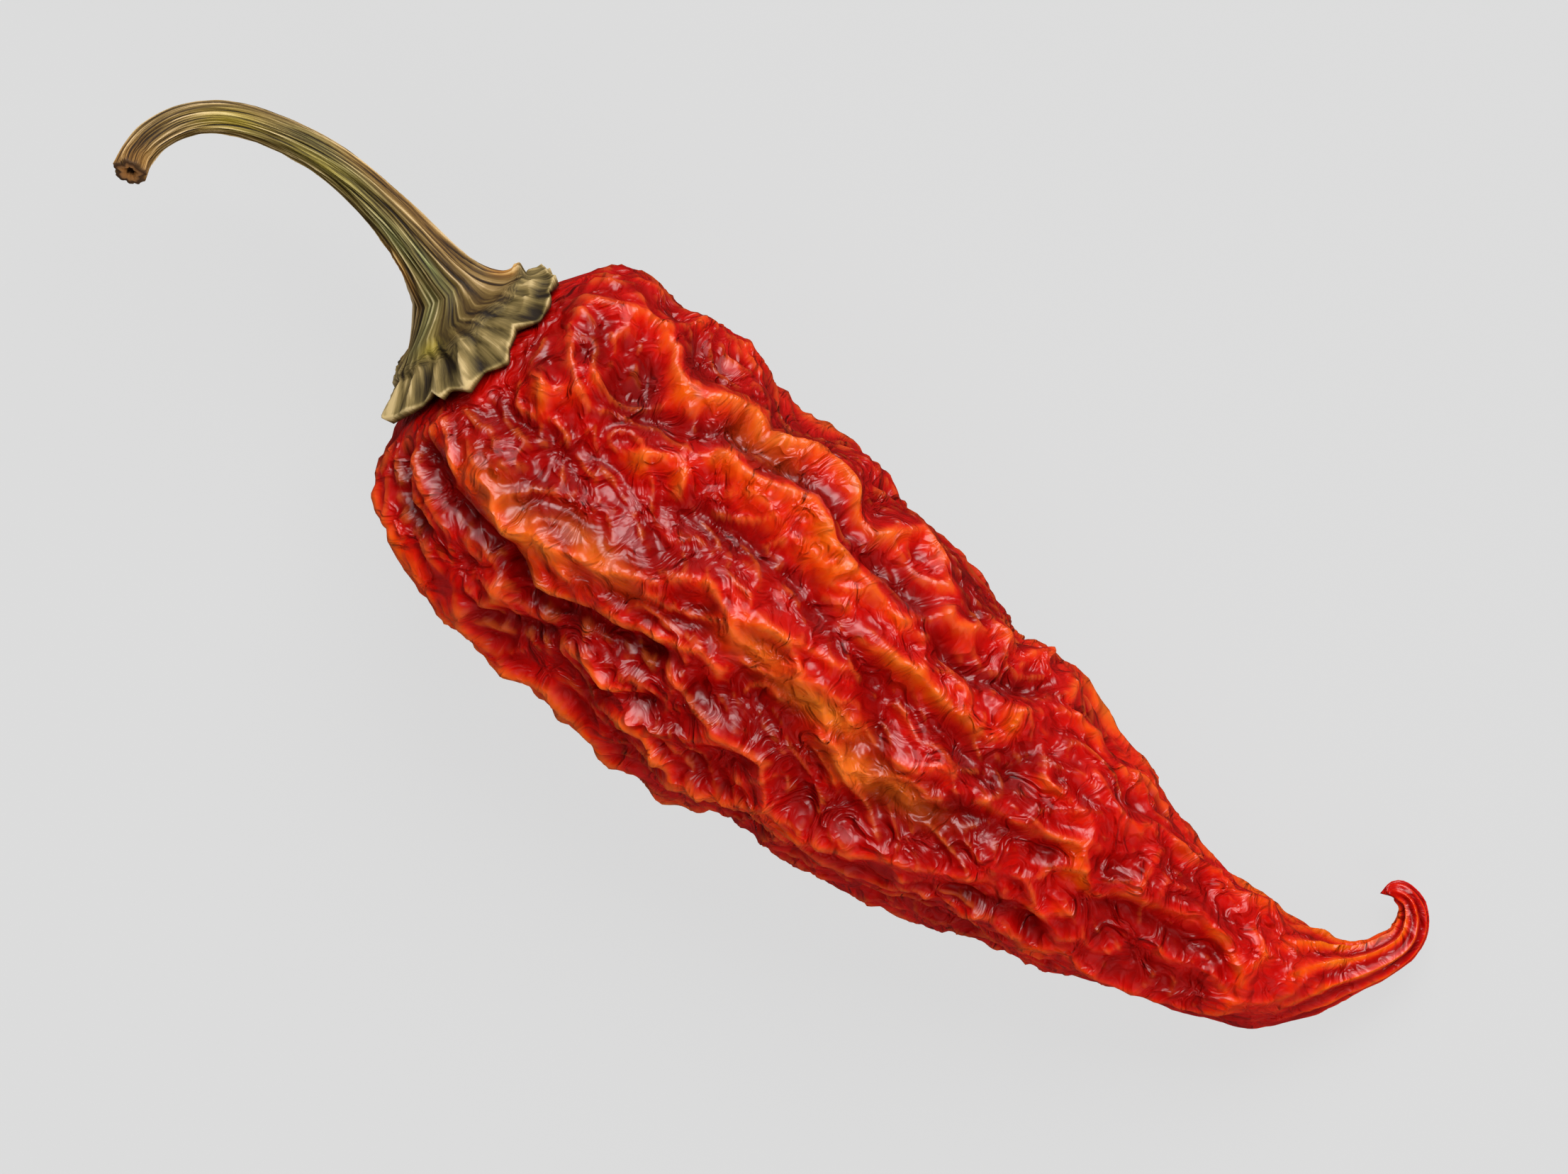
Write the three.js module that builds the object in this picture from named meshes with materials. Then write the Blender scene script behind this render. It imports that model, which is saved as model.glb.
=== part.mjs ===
import * as THREE from 'three';

// A dried red chilli pepper lying on its side, in two pieces: the wrinkled pod, and the stalk with its calyx.
// Millimetres, +Z up. +X runs from the stalk to the curled tip. The origin is where the belly rests.

// Driving dimensions

// The pod's middle line from the calyx to the tip: x, y, z, half width, half height.
const POD_STATIONS = [
  [-33.4, 4.15, 12.3, 0, 0], [-32.8, 4.05, 12.3, 3.2, 3.0], [-31.5, 3.75, 12.2, 6.1, 5.2],
  [-30.4, 3.5, 12.1, 8.7, 6.9], [-29.0, 3.2, 12.0, 11.1, 8.6], [-25.5, 2.45, 11.8, 13.0, 10.7],
  [-20.0, 1.25, 11.6, 14.0, 12.1], [-12.0, 0.2, 11.5, 14.0, 12.5], [-4.0, -0.2, 11.5, 14.0, 12.4],
  [4.0, -0.35, 10.6, 12.6, 11.5], [12.0, -0.9, 9.9, 11.4, 10.6], [20.0, -0.5, 8.9, 10.0, 9.5],
  [27.0, -0.4, 7.4, 7.9, 7.8], [33.0, -0.3, 6.0, 6.1, 6.2], [38.0, 0.65, 5.2, 5.0, 5.0],
  [41.7, 2.4, 4.3, 3.5, 3.7], [44.8, 4.9, 3.3, 1.75, 2.1], [46.6, 8.0, 2.6, 1.35, 1.6],
  [46.5, 9.9, 2.4, 1.2, 1.35], [45.5, 11.1, 2.5, 0.95, 1.05], [44.2, 11.2, 2.7, 0.75, 0.8],
  [43.4, 10.3, 2.8, 0, 0],
];

// The stalk's middle line from its cut end to the calyx: x, y, z, half thickness.
const STALK_STATIONS = [
  [-57.9, -0.45, 18.2, 1.2], [-58.25, 0.95, 17.0, 1.12], [-58.1, 2.55, 16.2, 1.1], [-57.2, 4.5, 15.7, 1.1],
  [-55.65, 6.1, 15.4, 1.1], [-53.6, 7.25, 15.2, 1.12], [-50.9, 8.05, 15.0, 1.16], [-47.9, 8.5, 14.8, 1.26],
  [-44.9, 8.45, 14.5, 1.38], [-41.9, 8.0, 14.2, 1.52], [-39.9, 7.55, 14.0, 1.7], [-38.0, 7.0, 13.8, 1.95],
  [-36.3, 6.45, 13.5, 2.35], [-35.3, 6.15, 13.2, 2.75], [-34.6, 5.85, 13.0, 3.15],
];

const BODY_SPACING = 1.15;          // rows of facets along the pod
const SHOULDER_ROWS = 5;            // rows under the calyx, closer together
const SHOULDER_LENGTH = 4.5;
const POD_AROUND = 72;
const STALK_AROUND = 72;
const STALK_ROWS = 24;

const PIECE_GAP = 0.36;             // between the pod's dome and the underside of the calyx
const VALLEY_SHARE = 0.2;           // depth of the valleys between folds, as a share of the pod's radius
const CREST_LEVEL = 0.74;           // share of the valley depth that lies below the pod's mean skin
const CREST_SOFTNESS = 0.8;         // rounds the top of a fold
const SMALLEST_RADIUS = 0.5;        // folds are measured on at least this radius near the two ends
const FOLD_BLEND = 3;               // how sharply one fold gives way to the next
const BODY_RADIUS = 9;              // where the pod is thinner than this, the crumple is lower too
const CRUMPLE_CELL = [6.0, 3.4, 3.4]; // size of the crumple between folds: along the pod, and across it
const CRUMPLE_HEIGHT = 0.65;
const CRUMPLE_MEAN = 0.15;          // share of that height that lies below the smooth skin
const CRUMPLE_SPREAD = 0.42;        // how far the slopes run down from a ridge
const CRUMPLE_WARP = 0.3;           // how far the ridges bend, as a share of a cell
const CRUMPLE_SALT = 11;
const COVER_PAST = 0.35;            // how far past the calyx's rim the skin stays smooth
const COVER_FADE = 2.4;             // length over which the relief then grows
const TIP_FADE = [0.3, 3];
const PLEATS = 9;                   // lengthwise pleats round the thin tail
const PLEAT_HEIGHT = 0.42;
const PLEAT_MEAN = 0.4;
const PLEAT_RADII = [2.5, 4.6];     // they fade in where the pod is thinner than this
const PLEAT_FULL_RADIUS = 2;
const PLEAT_TWIST = 0.07;           // radians per mm
const PLEAT_SWAY = 0.8;

// Folds read off the upper side. Each crest is a line of points: mm along the pod, degrees round it.
// Round it, 0 is the +Y edge, 90 the top, 180 the -Y edge and 270 the belly.
const FOLDS = [
  { rise: 0.7, reach: 1.6, line: [[4.9, 37], [6.2, 36], [6.8, 32], [6.9, 27], [8.5, 26]] },
  { rise: 0.8, reach: 1.7, line: [[6.5, 43], [8, 38], [10.4, 36], [11, 31], [11.6, 20]] },
  { rise: 1.0, reach: 2.4, line: [[6, 51], [7, 48], [8.8, 43], [10, 40.5], [12, 43], [13, 47], [14.5, 49.5],
    [16.5, 50], [17.5, 45], [20, 38.5], [22, 43.5], [24, 38], [27, 32], [29, 36], [31, 42], [33, 43.5],
    [34, 39], [35.2, 30], [37, 32], [38.5, 40]] },
  { rise: 1.0, reach: 2.6, line: [[20, 58.5], [24, 57], [28, 52], [31, 57], [32.5, 60], [36, 61], [37.8, 62],
    [39, 54], [39.7, 48], [41.5, 45], [43, 36], [46.5, 32.5], [48.3, 18]] },
  { rise: 0.75, reach: 1.5, line: [[16.2, 74], [17, 71], [18.2, 67], [19, 69], [20, 75]] },
  { rise: 0.9, reach: 1.9, line: [[6.1, 52], [6.3, 62], [7, 67], [8, 71], [9.8, 69]] },
  { rise: 0.8, reach: 1.7, line: [[8.4, 45], [8.6, 55], [9.5, 60], [9.9, 70]] },
  { rise: 0.8, reach: 1.8, line: [[8.1, 82], [9.3, 76], [10, 73]] },
  { rise: 1.1, reach: 2.8, line: [[4, 113], [6, 119], [8, 117], [10.5, 112], [13.3, 117], [14.6, 112],
    [17, 110], [19.5, 103], [22.5, 99], [24.7, 91], [27, 86.5], [29.2, 90], [33, 87.5], [36.4, 85]] },
  { rise: 0.8, reach: 1.6, line: [[6, 121], [8.5, 123.5], [12, 121], [14, 119], [16.5, 124.5], [18, 124],
    [20, 120], [24, 114], [28, 106], [30, 107]] },
  { rise: 0.6, reach: 1.3, line: [[26, 119], [27, 117], [28.3, 119]] },
  { rise: 0.6, reach: 1.3, line: [[21, 135], [22.5, 134], [24.5, 135], [25.3, 133.5]] },
  { rise: 0.7, reach: 1.5, line: [[15.2, 132], [15.8, 138], [15.4, 145], [14.5, 152]] },
  { rise: 0.9, reach: 2.2, line: [[6, 157], [8, 154.5], [12, 155], [13.5, 158], [14.5, 164]] },
  { rise: 0.9, reach: 2.0, line: [[14.8, 150], [15.5, 156], [17.5, 162], [20.5, 161], [22, 158], [23.8, 162],
    [26, 163], [28, 170]] },
  { rise: 1.0, reach: 2.4, line: [[35, 76], [37.5, 74.5], [40, 71], [44, 71.5], [48, 71], [49.3, 66],
    [48.8, 57], [50.2, 50]] },
  { rise: 0.65, reach: 1.3, line: [[39.7, 60], [40.8, 70]] },
  { rise: 0.7, reach: 1.3, line: [[42.6, 70], [43.2, 65], [44, 62], [45, 63], [45.8, 70]] },
  { rise: 0.8, reach: 1.6, line: [[51.2, 22], [51.7, 38], [54, 38], [56.5, 42], [58, 33]] },
  { rise: 0.8, reach: 1.7, line: [[51.9, 61], [52.3, 65], [53.3, 72], [55, 71.5], [57, 73]] },
  { rise: 0.9, reach: 1.9, line: [[44, 97], [46, 89], [49.5, 87], [50.6, 92], [53.8, 91], [57.3, 82]] },
  { rise: 0.8, reach: 1.5, line: [[28.3, 91], [29, 95], [30.2, 96.5], [32.5, 95.5], [35, 91.5]] },
  { rise: 0.95, reach: 1.9, line: [[34.7, 96], [37, 98], [38.8, 104], [41, 109], [43.6, 105], [46, 104],
    [47.5, 99]] },
  { rise: 0.8, reach: 1.6, line: [[34, 93], [38, 94], [39.5, 97], [40, 101]] },
  { rise: 0.6, reach: 1.2, line: [[41.8, 112], [41.2, 119]] },
  { rise: 1.05, reach: 2.4, line: [[32, 125], [34, 123], [36, 124], [38.5, 137], [41.5, 143], [43, 139],
    [47.3, 126], [49, 124], [53, 118]] },
  { rise: 0.8, reach: 1.6, line: [[35.5, 136], [39, 145], [42.2, 147], [45.6, 148], [48.5, 147]] },
  { rise: 0.85, reach: 1.8, line: [[27, 142], [29, 141], [31, 148], [32, 152], [35, 149], [36.8, 144]] },
  { rise: 0.8, reach: 1.6, line: [[48.2, 130], [48.8, 138], [50.5, 136], [53, 136], [53.5, 128]] },
  { rise: 1.0, reach: 2.0, line: [[55.5, 55], [58.8, 62], [60, 59], [61.8, 46], [64, 47], [67.2, 36.5],
    [70, 38.5], [72, 33], [72.8, 22]] },
  { rise: 0.8, reach: 1.3, line: [[62.3, 60], [62.5, 78], [62.6, 86]] },
  { rise: 0.75, reach: 1.2, line: [[64, 76], [64, 70], [66.8, 60], [67.9, 67], [66, 73]] },
  { rise: 0.6, reach: 1.1, line: [[68, 47], [68, 60]] },
  { rise: 1.0, reach: 1.9, line: [[58, 90], [60.3, 101], [62.2, 90], [65, 84], [67.5, 74], [70.2, 80],
    [71.7, 95], [72.2, 105]] },
  { rise: 0.7, reach: 1.1, line: [[72.2, 61], [73, 68], [73.4, 80], [72.7, 90]] },
  { rise: 0.8, reach: 1.3, line: [[72.3, 123], [75, 121], [76.5, 104.5], [77.8, 108]] },
  { rise: 0.8, reach: 1.3, line: [[66.5, 106], [68, 106], [69.6, 98], [71.6, 118], [72, 122]] },
  { rise: 1.0, reach: 1.9, line: [[54.2, 134], [56, 132], [58.5, 143], [60.8, 134.5], [62.8, 140], [66, 143],
    [70.6, 148], [72, 136]] },
  { rise: 0.8, reach: 1.5, line: [[54.4, 123], [58, 121], [59.5, 112], [60, 110]] },
  { rise: 0.8, reach: 1.4, line: [[60, 126], [61.2, 121], [62.8, 127], [64, 120]] },
  { rise: 0.9, reach: 1.2, line: [[79, 75], [80, 95], [80.5, 115], [81.3, 140], [82, 150]] },
  { rise: 0.8, reach: 1.0, line: [[81, 87], [82.7, 105], [85, 80], [85.5, 65]] },
];

// Clefts between folds: depth and half width in mm.
const CLEFTS = [
  { depth: 2.2, width: 1.0, line: [[6, 124], [9, 125.5], [12, 124], [14, 122], [15.5, 126], [17, 128.5],
    [19, 126], [21, 121.5], [24, 118.5], [26, 117]] },
  { depth: 0.9, width: 1.0, line: [[3.8, 98], [6, 97.5], [8, 95], [10, 91.5], [12, 90]] },
  { depth: 0.9, width: 1.1, line: [[12, 51], [14.3, 62], [17.5, 55], [20, 47], [24, 46], [28, 44], [31, 47],
    [38, 50]] },
  { depth: 1.0, width: 1.2, line: [[20, 77], [23, 72], [30, 71.5], [34, 76], [39, 79], [46, 76], [49, 76],
    [51.5, 66]] },
  { depth: 0.8, width: 1.0, line: [[39, 83], [41.5, 91], [43.3, 102]] },
  { depth: 0.9, width: 1.1, line: [[44.5, 110], [48.5, 100], [52, 95], [56, 93]] },
  { depth: 0.7, width: 0.9, line: [[48, 86], [50, 83], [51, 77]] },
  { depth: 0.8, width: 1.0, line: [[53, 127], [57, 127], [58, 131]] },
  { depth: 0.8, width: 1.0, line: [[60.3, 104], [63, 95], [65, 90], [70, 92]] },
  { depth: 0.7, width: 0.8, line: [[39, 56], [42.5, 55], [46, 50], [48.5, 42]] },
  { depth: 0.9, width: 1.0, line: [[15.5, 146], [18, 143], [20, 138], [21, 132]] },
];

// Broad swells and hollows of the skin: mm along, degrees round, reach along and across in mm, rise.
const SWELLS = [
  [9, 142, 6, 6, 1.1], [8.5, 88, 3.5, 4, 0.8], [7.5, 58, 3.5, 4, 0.7], [11.5, 60, 2.5, 3, -1.0],
  [50, 158, 9, 3.5, -1.0], [21, 88, 6, 4, -0.5], [33, 112, 5, 4, -0.6], [20, 250, 9, 6, 0.5],
  [44, 300, 9, 5, -0.7], [34, 215, 7, 6, -0.6], [6.5, 5, 3, 6, 1.0], [16, 3, 4.2, 5, 2.0],
  [23, 3, 3, 5, -0.9], [30, 3, 3.5, 5, 1.3], [39, 3, 4, 5, 0.9], [46, 3, 1.6, 5, -1.3], [50.5, 3, 2, 5, 0.6],
  [55.5, 3, 2.5, 5, -1.6], [64, 0, 6, 4, -1.1], [8.5, 180, 2.5, 6, -0.3], [23, 180, 4, 6, -0.7],
  [27.5, 180, 2, 5, -0.5], [31.5, 180, 2, 5, 0.6], [43, 180, 6, 5, 0.9], [61, 180, 2, 4, 0.5],
  [69, 180, 3, 4, -0.7],
];

// Folds of the belly and the far side, which nothing shows: drawn by a seeded wander of the same kind.
const UNDER_SEED = 4711;
const UNDER_COUNT = 26;
const UNDER_POINTS = 7;
const UNDER_ROUND = [198, 340];     // degrees round the pod that they stay between
const UNDER_START = 6;              // first place along the pod, and the length that they start in
const UNDER_LENGTH = 66;
const UNDER_STRIDE = [1.2, 3.8];
const UNDER_SWAY = 26;              // degrees
const UNDER_RISE = [0.75, 1.05];
const UNDER_REACH = [1.5, 2.6];

// Flat spots that the pod rests on: mm along the pod, reach along it, reach round it in degrees.
const REST_SPOTS = [[29, 12, 16], [63, 6, 22]];
const REST_ROUND = 270;

// Calyx: its thickness at shares of the way from its middle to its rim.
const CALYX_START = 0.42;           // share where the stalk's foot starts
const FOOT_ALONG = 0.95;            // mm along the pod where it starts, and how much more on the +Y side
const FOOT_LEAN = 0.45;
const CALYX_THICKNESS = [[0, 1.5], [0.42, 1.2], [0.6, 1.2], [0.7, 1.3], [0.78, 0.85], [1, 0.65]];
const CALYX_ROWS = 9;
const CALYX_UNDER_ROWS = 5;
const DOME_TIP = 0.02;              // the underside's middle stays this far from the very tip of the dome
// Its ragged rim, from corner to corner: degrees round, mm along the pod from the dome's tip.
const RIM = [
  [2, 2.3], [20, 2.6], [36, 3.3], [47, 3.45], [57, 4.2], [65, 4.4], [72, 3.8], [80, 4.35], [84, 5.15],
  [92, 4.55], [100, 5.0], [103, 4.4], [106, 4.05], [110, 4.15], [114, 3.45], [121, 3.5], [133, 3.35],
  [144, 3.25], [150, 2.4], [163, 1.6], [178, 1.3], [192, 1.7], [206, 2.6], [219, 1.8], [236, 2.9],
  [250, 2.1], [268, 3.0], [284, 2.0], [300, 2.9], [318, 1.9], [336, 2.8], [350, 1.9], [362, 2.3],
];

// Ribs of the stalk: degrees round, half width in degrees, height as a share of the thickness.
const RIB_BASE = 0.87;
const RIBS = [
  [10, 17, 0.2], [58, 14, 0.16], [97, 13, 0.2], [150, 18, 0.17], [205, 15, 0.2], [262, 18, 0.16],
  [316, 15, 0.2],
];
const RIB_TWIST = -0.9;             // radians from the calyx to the cut end
const PITH_RADIUS = 0.32;           // share of the stalk's half thickness at its cut end
const PITH_FLOOR = 0.26;
const PITH_DEPTH = 0.5;
const PITH_EDGE = 0.05;             // the cut end is a little dished
const CUT_RADIUS = 0.9;             // share of the half thickness where the cut end is bevelled
const CUT_BEVEL = 0.15;

const DEGREE = Math.PI / 180;
const CURVE_STEPS = 40;
const TENSION = 0.5;
const NEARLY_NOTHING = 1e-9;

// Curves

/** Samples stations whose first columns are x, y, z, evenly in each span, with the distance along them. */
function sampleStations(stations, planOnly) {
  const spine = new THREE.CatmullRomCurve3(
    stations.map(([x, y, z]) => new THREE.Vector3(x, y, z)), false, 'catmullrom', TENSION);
  const sizes = new THREE.CatmullRomCurve3(
    stations.map(([, , , a, b = 0]) => new THREE.Vector3(a, b, 0)), false, 'catmullrom', TENSION);
  const steps = (stations.length - 1) * CURVE_STEPS;
  const samples = [];
  let along = 0;
  for (let i = 0; i <= steps; i += 1) {
    const point = spine.getPoint(i / steps);
    const size = sizes.getPoint(i / steps);
    if (i > 0) {
      const step = point.clone().sub(samples[i - 1].point);
      along += planOnly ? Math.hypot(step.x, step.y) : step.length();
    }
    samples.push({ along, point, wide: Math.max(size.x, 0), high: Math.max(size.y, 0) });
  }
  return samples;
}

/** The point and sizes at a distance along a sampled curve. */
function sampleAt(samples, along) {
  const last = samples[samples.length - 1];
  const wanted = Math.min(Math.max(along, 0), last.along);
  let low = 0;
  let high = samples.length - 1;
  while (high - low > 1) {
    const middle = (low + high) >> 1;
    if (samples[middle].along <= wanted) low = middle;
    else high = middle;
  }
  const a = samples[low];
  const b = samples[high];
  const share = (wanted - a.along) / Math.max(b.along - a.along, NEARLY_NOTHING);
  return {
    point: a.point.clone().lerp(b.point, share),
    tangent: b.point.clone().sub(a.point).normalize(),
    wide: THREE.MathUtils.lerp(a.wide, b.wide, share),
    high: THREE.MathUtils.lerp(a.high, b.high, share),
  };
}

const podSamples = sampleStations(POD_STATIONS, true);
const stalkSamples = sampleStations(STALK_STATIONS, false);
const POD_LENGTH = podSamples[podSamples.length - 1].along;
const STALK_LENGTH = stalkSamples[stalkSamples.length - 1].along;

// Skin of the pod

/** The smooth skin, before any fold, at mm along the pod and radians round it. */
function smoothSkin(along, round) {
  const { point, tangent, wide, high } = sampleAt(podSamples, along);
  const side = new THREE.Vector3(-tangent.y, tangent.x, 0).normalize();
  return point.addScaledVector(side, wide * Math.cos(round)).setZ(point.z + high * Math.sin(round));
}

/** The direction straight out of the smooth skin. */
function skinNormal(along, round) {
  const step = 0.08;
  const near = Math.min(Math.max(along, step), POD_LENGTH - step);
  const across = smoothSkin(near, round + step).sub(smoothSkin(near, round - step));
  const forward = smoothSkin(near + step / 2, round).sub(smoothSkin(near - step / 2, round));
  return across.cross(forward).normalize();
}

/** The signed turn in degrees from one angle to another, the short way round. */
function turnBetween(degrees, middle) {
  return THREE.MathUtils.euclideanModulo(degrees - middle + 180, 360) - 180;
}

/** A number from 0 to 1 that is always the same for one corner of a lattice. */
function cornerNumber(x, y, z, salt) {
  let bits = Math.imul(x, 374761393) ^ Math.imul(y, 668265263);
  bits ^= Math.imul(z, 1440662683) ^ Math.imul(salt, 974634777);
  bits = Math.imul(bits ^ (bits >>> 13), 1274126177);
  bits ^= bits >>> 16;
  return (bits >>> 0) / 2 ** 32;
}

/** Smooth noise from about -1 to 1: slopes drawn at the corners of a lattice and blended between them. */
function slopeNoise(place, salt) {
  const home = place.map(Math.floor);
  const inside = place.map((value, axis) => value - home[axis]);
  const ease = inside.map((t) => t * t * t * (t * (6 * t - 15) + 10));
  let total = 0;
  for (let corner = 0; corner < 8; corner += 1) {
    const step = [corner & 1, (corner >> 1) & 1, corner >> 2];
    const at = home.map((value, axis) => value + step[axis]);
    let weight = 1;
    let slope = 0;
    for (let axis = 0; axis < 3; axis += 1) {
      weight *= step[axis] ? ease[axis] : 1 - ease[axis];
      slope += (2 * cornerNumber(...at, salt + axis) - 1) * (inside[axis] - step[axis]);
    }
    total += weight * slope;
  }
  return total;
}

/** The crumple of the skin: 1 on the line of a ridge, sloping down to 0 in the hollows. */
function crumpleRidge(x, y, z) {
  const [u, v, w] = [x / CRUMPLE_CELL[0], y / CRUMPLE_CELL[1], z / CRUMPLE_CELL[2]];
  const bent = [
    u + CRUMPLE_WARP * Math.sin(1.7 * v + 0.9 * w),
    v + CRUMPLE_WARP * Math.sin(1.9 * w + 1.1 * u + 1.3),
    w + CRUMPLE_WARP * Math.sin(1.6 * u + 1.2 * v + 2.1),
  ];
  return 1 - Math.min(Math.abs(slopeNoise(bent, CRUMPLE_SALT)) / CRUMPLE_SPREAD, 1);
}

/** The distance in mm from a place on the skin to a line drawn on it. */
function distanceToLine(line, along, degrees, radius) {
  const scale = radius * DEGREE;
  let nearest = Infinity;
  for (let i = 1; i < line.length; i += 1) {
    const [s0, d0] = line[i - 1];
    const [s1, d1] = line[i];
    const a = [along - s0, (degrees - d0) * scale];
    const b = [s1 - s0, (d1 - d0) * scale];
    const share = THREE.MathUtils.clamp((a[0] * b[0] + a[1] * b[1]) / (b[0] * b[0] + b[1] * b[1]), 0, 1);
    nearest = Math.min(nearest, Math.hypot(a[0] - share * b[0], a[1] - share * b[1]));
  }
  return nearest;
}

/** The seeded folds of the belly and the far side. */
function underFolds() {
  let state = UNDER_SEED;
  const draw = () => {
    state = (Math.imul(state, 1664525) + 1013904223) >>> 0;
    return state / 2 ** 32;
  };
  const drawFrom = (range) => THREE.MathUtils.lerp(...range, draw());
  const folds = [];
  for (let i = 0; i < UNDER_COUNT; i += 1) {
    let along = UNDER_START + UNDER_LENGTH * draw();
    let round = drawFrom(UNDER_ROUND);
    const line = [[along, round]];
    for (let j = 1; j < UNDER_POINTS; j += 1) {
      along += drawFrom(UNDER_STRIDE);
      round += UNDER_SWAY * (draw() - 0.5);
      line.push([along, THREE.MathUtils.clamp(round, ...UNDER_ROUND)]);
    }
    folds.push({ rise: drawFrom(UNDER_RISE), reach: drawFrom(UNDER_REACH), line });
  }
  return folds;
}

const allFolds = [...FOLDS, ...underFolds()];

/** The rise of the folds at a place, from 0 in a wide valley to about 1 on a crest. */
function foldRise(along, degrees, radius) {
  let total = 0;
  for (const { rise, reach, line } of allFolds) {
    const far = distanceToLine(line, along, degrees, radius);
    const soft = Math.hypot(far, CREST_SOFTNESS) - CREST_SOFTNESS;
    total += (rise * Math.exp(-soft / reach)) ** FOLD_BLEND;
  }
  return total ** (1 / FOLD_BLEND);
}

/** The value at a place in a list of [place, value] pairs, straight between them. */
function between(pairs, place) {
  const next = Math.max(pairs.findIndex(([at]) => at >= place), 1);
  const [start, low] = pairs[next - 1];
  const [end, high] = pairs[next];
  return THREE.MathUtils.lerp(low, high, (place - start) / (end - start));
}

/** The calyx's ragged rim at an angle, as mm along the pod. */
function rimAt(round) {
  const first = RIM[0][0];
  return between(RIM, THREE.MathUtils.euclideanModulo(round / DEGREE - first, 360) + first);
}

/** Lengthwise pleats of the thin tail: 1 on a pleat, 0 between two. */
function pleat(along, round) {
  const turned = 0.5 * PLEATS * (round + PLEAT_TWIST * along) + PLEAT_SWAY * Math.sin(0.5 * along);
  return 1 - Math.abs(Math.sin(turned));
}

/** How far the wrinkled skin stands out from the smooth one, in mm. */
function relief(along, round) {
  const degrees = turnBetween(round / DEGREE, 180) + 180;
  const { wide, high } = sampleAt(podSamples, along);
  const radius = Math.max((wide + high) / 2, SMALLEST_RADIUS);
  let height = VALLEY_SHARE * radius * (foldRise(along, degrees, radius) - CREST_LEVEL);
  for (const { depth, width, line } of CLEFTS) {
    const far = distanceToLine(line, along, degrees, radius);
    height -= depth * Math.exp(-((far / width) ** 2));
  }
  for (const [middle, turnMiddle, reachAlong, reachAcross, rise] of SWELLS) {
    const across = turnBetween(degrees, turnMiddle) * DEGREE * radius;
    height += rise * Math.exp(-(((along - middle) / reachAlong) ** 2) - (across / reachAcross) ** 2);
  }
  const ridge = crumpleRidge(along, wide * Math.cos(round), high * Math.sin(round));
  height += CRUMPLE_HEIGHT * Math.min(radius / BODY_RADIUS, 1) * (ridge - CRUMPLE_MEAN);
  const thin = 1 - THREE.MathUtils.smoothstep(radius, ...PLEAT_RADII);
  const pleatHeight = PLEAT_HEIGHT * Math.min(radius / PLEAT_FULL_RADIUS, 1) * thin;
  height += pleatHeight * (pleat(along, round) - PLEAT_MEAN);
  const cover = rimAt(round) + COVER_PAST;
  const fromCalyx = THREE.MathUtils.smoothstep(along, cover, cover + COVER_FADE);
  const fromTip = THREE.MathUtils.smoothstep(POD_LENGTH - along, ...TIP_FADE);
  let resting = 0;
  for (const [middle, reachAlong, reachRound] of REST_SPOTS) {
    const far = ((along - middle) / reachAlong) ** 2 + ((degrees - REST_ROUND) / reachRound) ** 2;
    resting = Math.max(resting, Math.exp(-(far ** 2)));
  }
  return height * fromCalyx * fromTip * (1 - resting);
}

/** The wrinkled skin, flat where it rests. */
function podSkin(along, round) {
  const point = smoothSkin(along, round).addScaledVector(skinNormal(along, round), relief(along, round));
  return point.setZ(Math.max(point.z, 0));
}

// Stalk and calyx

/** A point lifted off the pod's dome. */
function overDome(along, round, lift) {
  return smoothSkin(along, round).addScaledVector(skinNormal(along, round), lift);
}

/** A point of the calyx's upper side, at a share of the way from the dome's tip to the rim. */
function calyxTop(share, round) {
  const foot = FOOT_ALONG + FOOT_LEAN * Math.cos(round);
  const out = (share ** 2 - CALYX_START ** 2) / (1 - CALYX_START ** 2);
  const along = THREE.MathUtils.lerp(foot, rimAt(round), out);
  return overDome(along, round, PIECE_GAP + between(CALYX_THICKNESS, share));
}

/** A point of the calyx's underside, at the same share. */
function calyxUnderside(share, round) {
  return overDome(Math.max(rimAt(round) * share * share, DOME_TIP), round, PIECE_GAP);
}

/** The ribbed outline of the stalk, as a factor on its half thickness. */
function ribFactor(round, along) {
  const degrees = round / DEGREE + (RIB_TWIST * (1 - along / STALK_LENGTH)) / DEGREE;
  let factor = RIB_BASE;
  for (const [middle, width, height] of RIBS) {
    factor += height * Math.exp(-((turnBetween(degrees, middle) / width) ** 2));
  }
  return factor;
}

/** A point on a cross-section of the stalk, at a share of its half thickness, pushed along the stalk. */
function stalkPoint(along, round, share, push) {
  const { point, tangent, wide } = sampleAt(stalkSamples, along);
  const side = new THREE.Vector3(-tangent.y, tangent.x, 0).normalize();
  const up = tangent.clone().cross(side);
  const radius = wide * share * ribFactor(round, along);
  point.addScaledVector(side, radius * Math.cos(round)).addScaledVector(up, radius * Math.sin(round));
  return point.addScaledVector(tangent, push);
}

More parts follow.
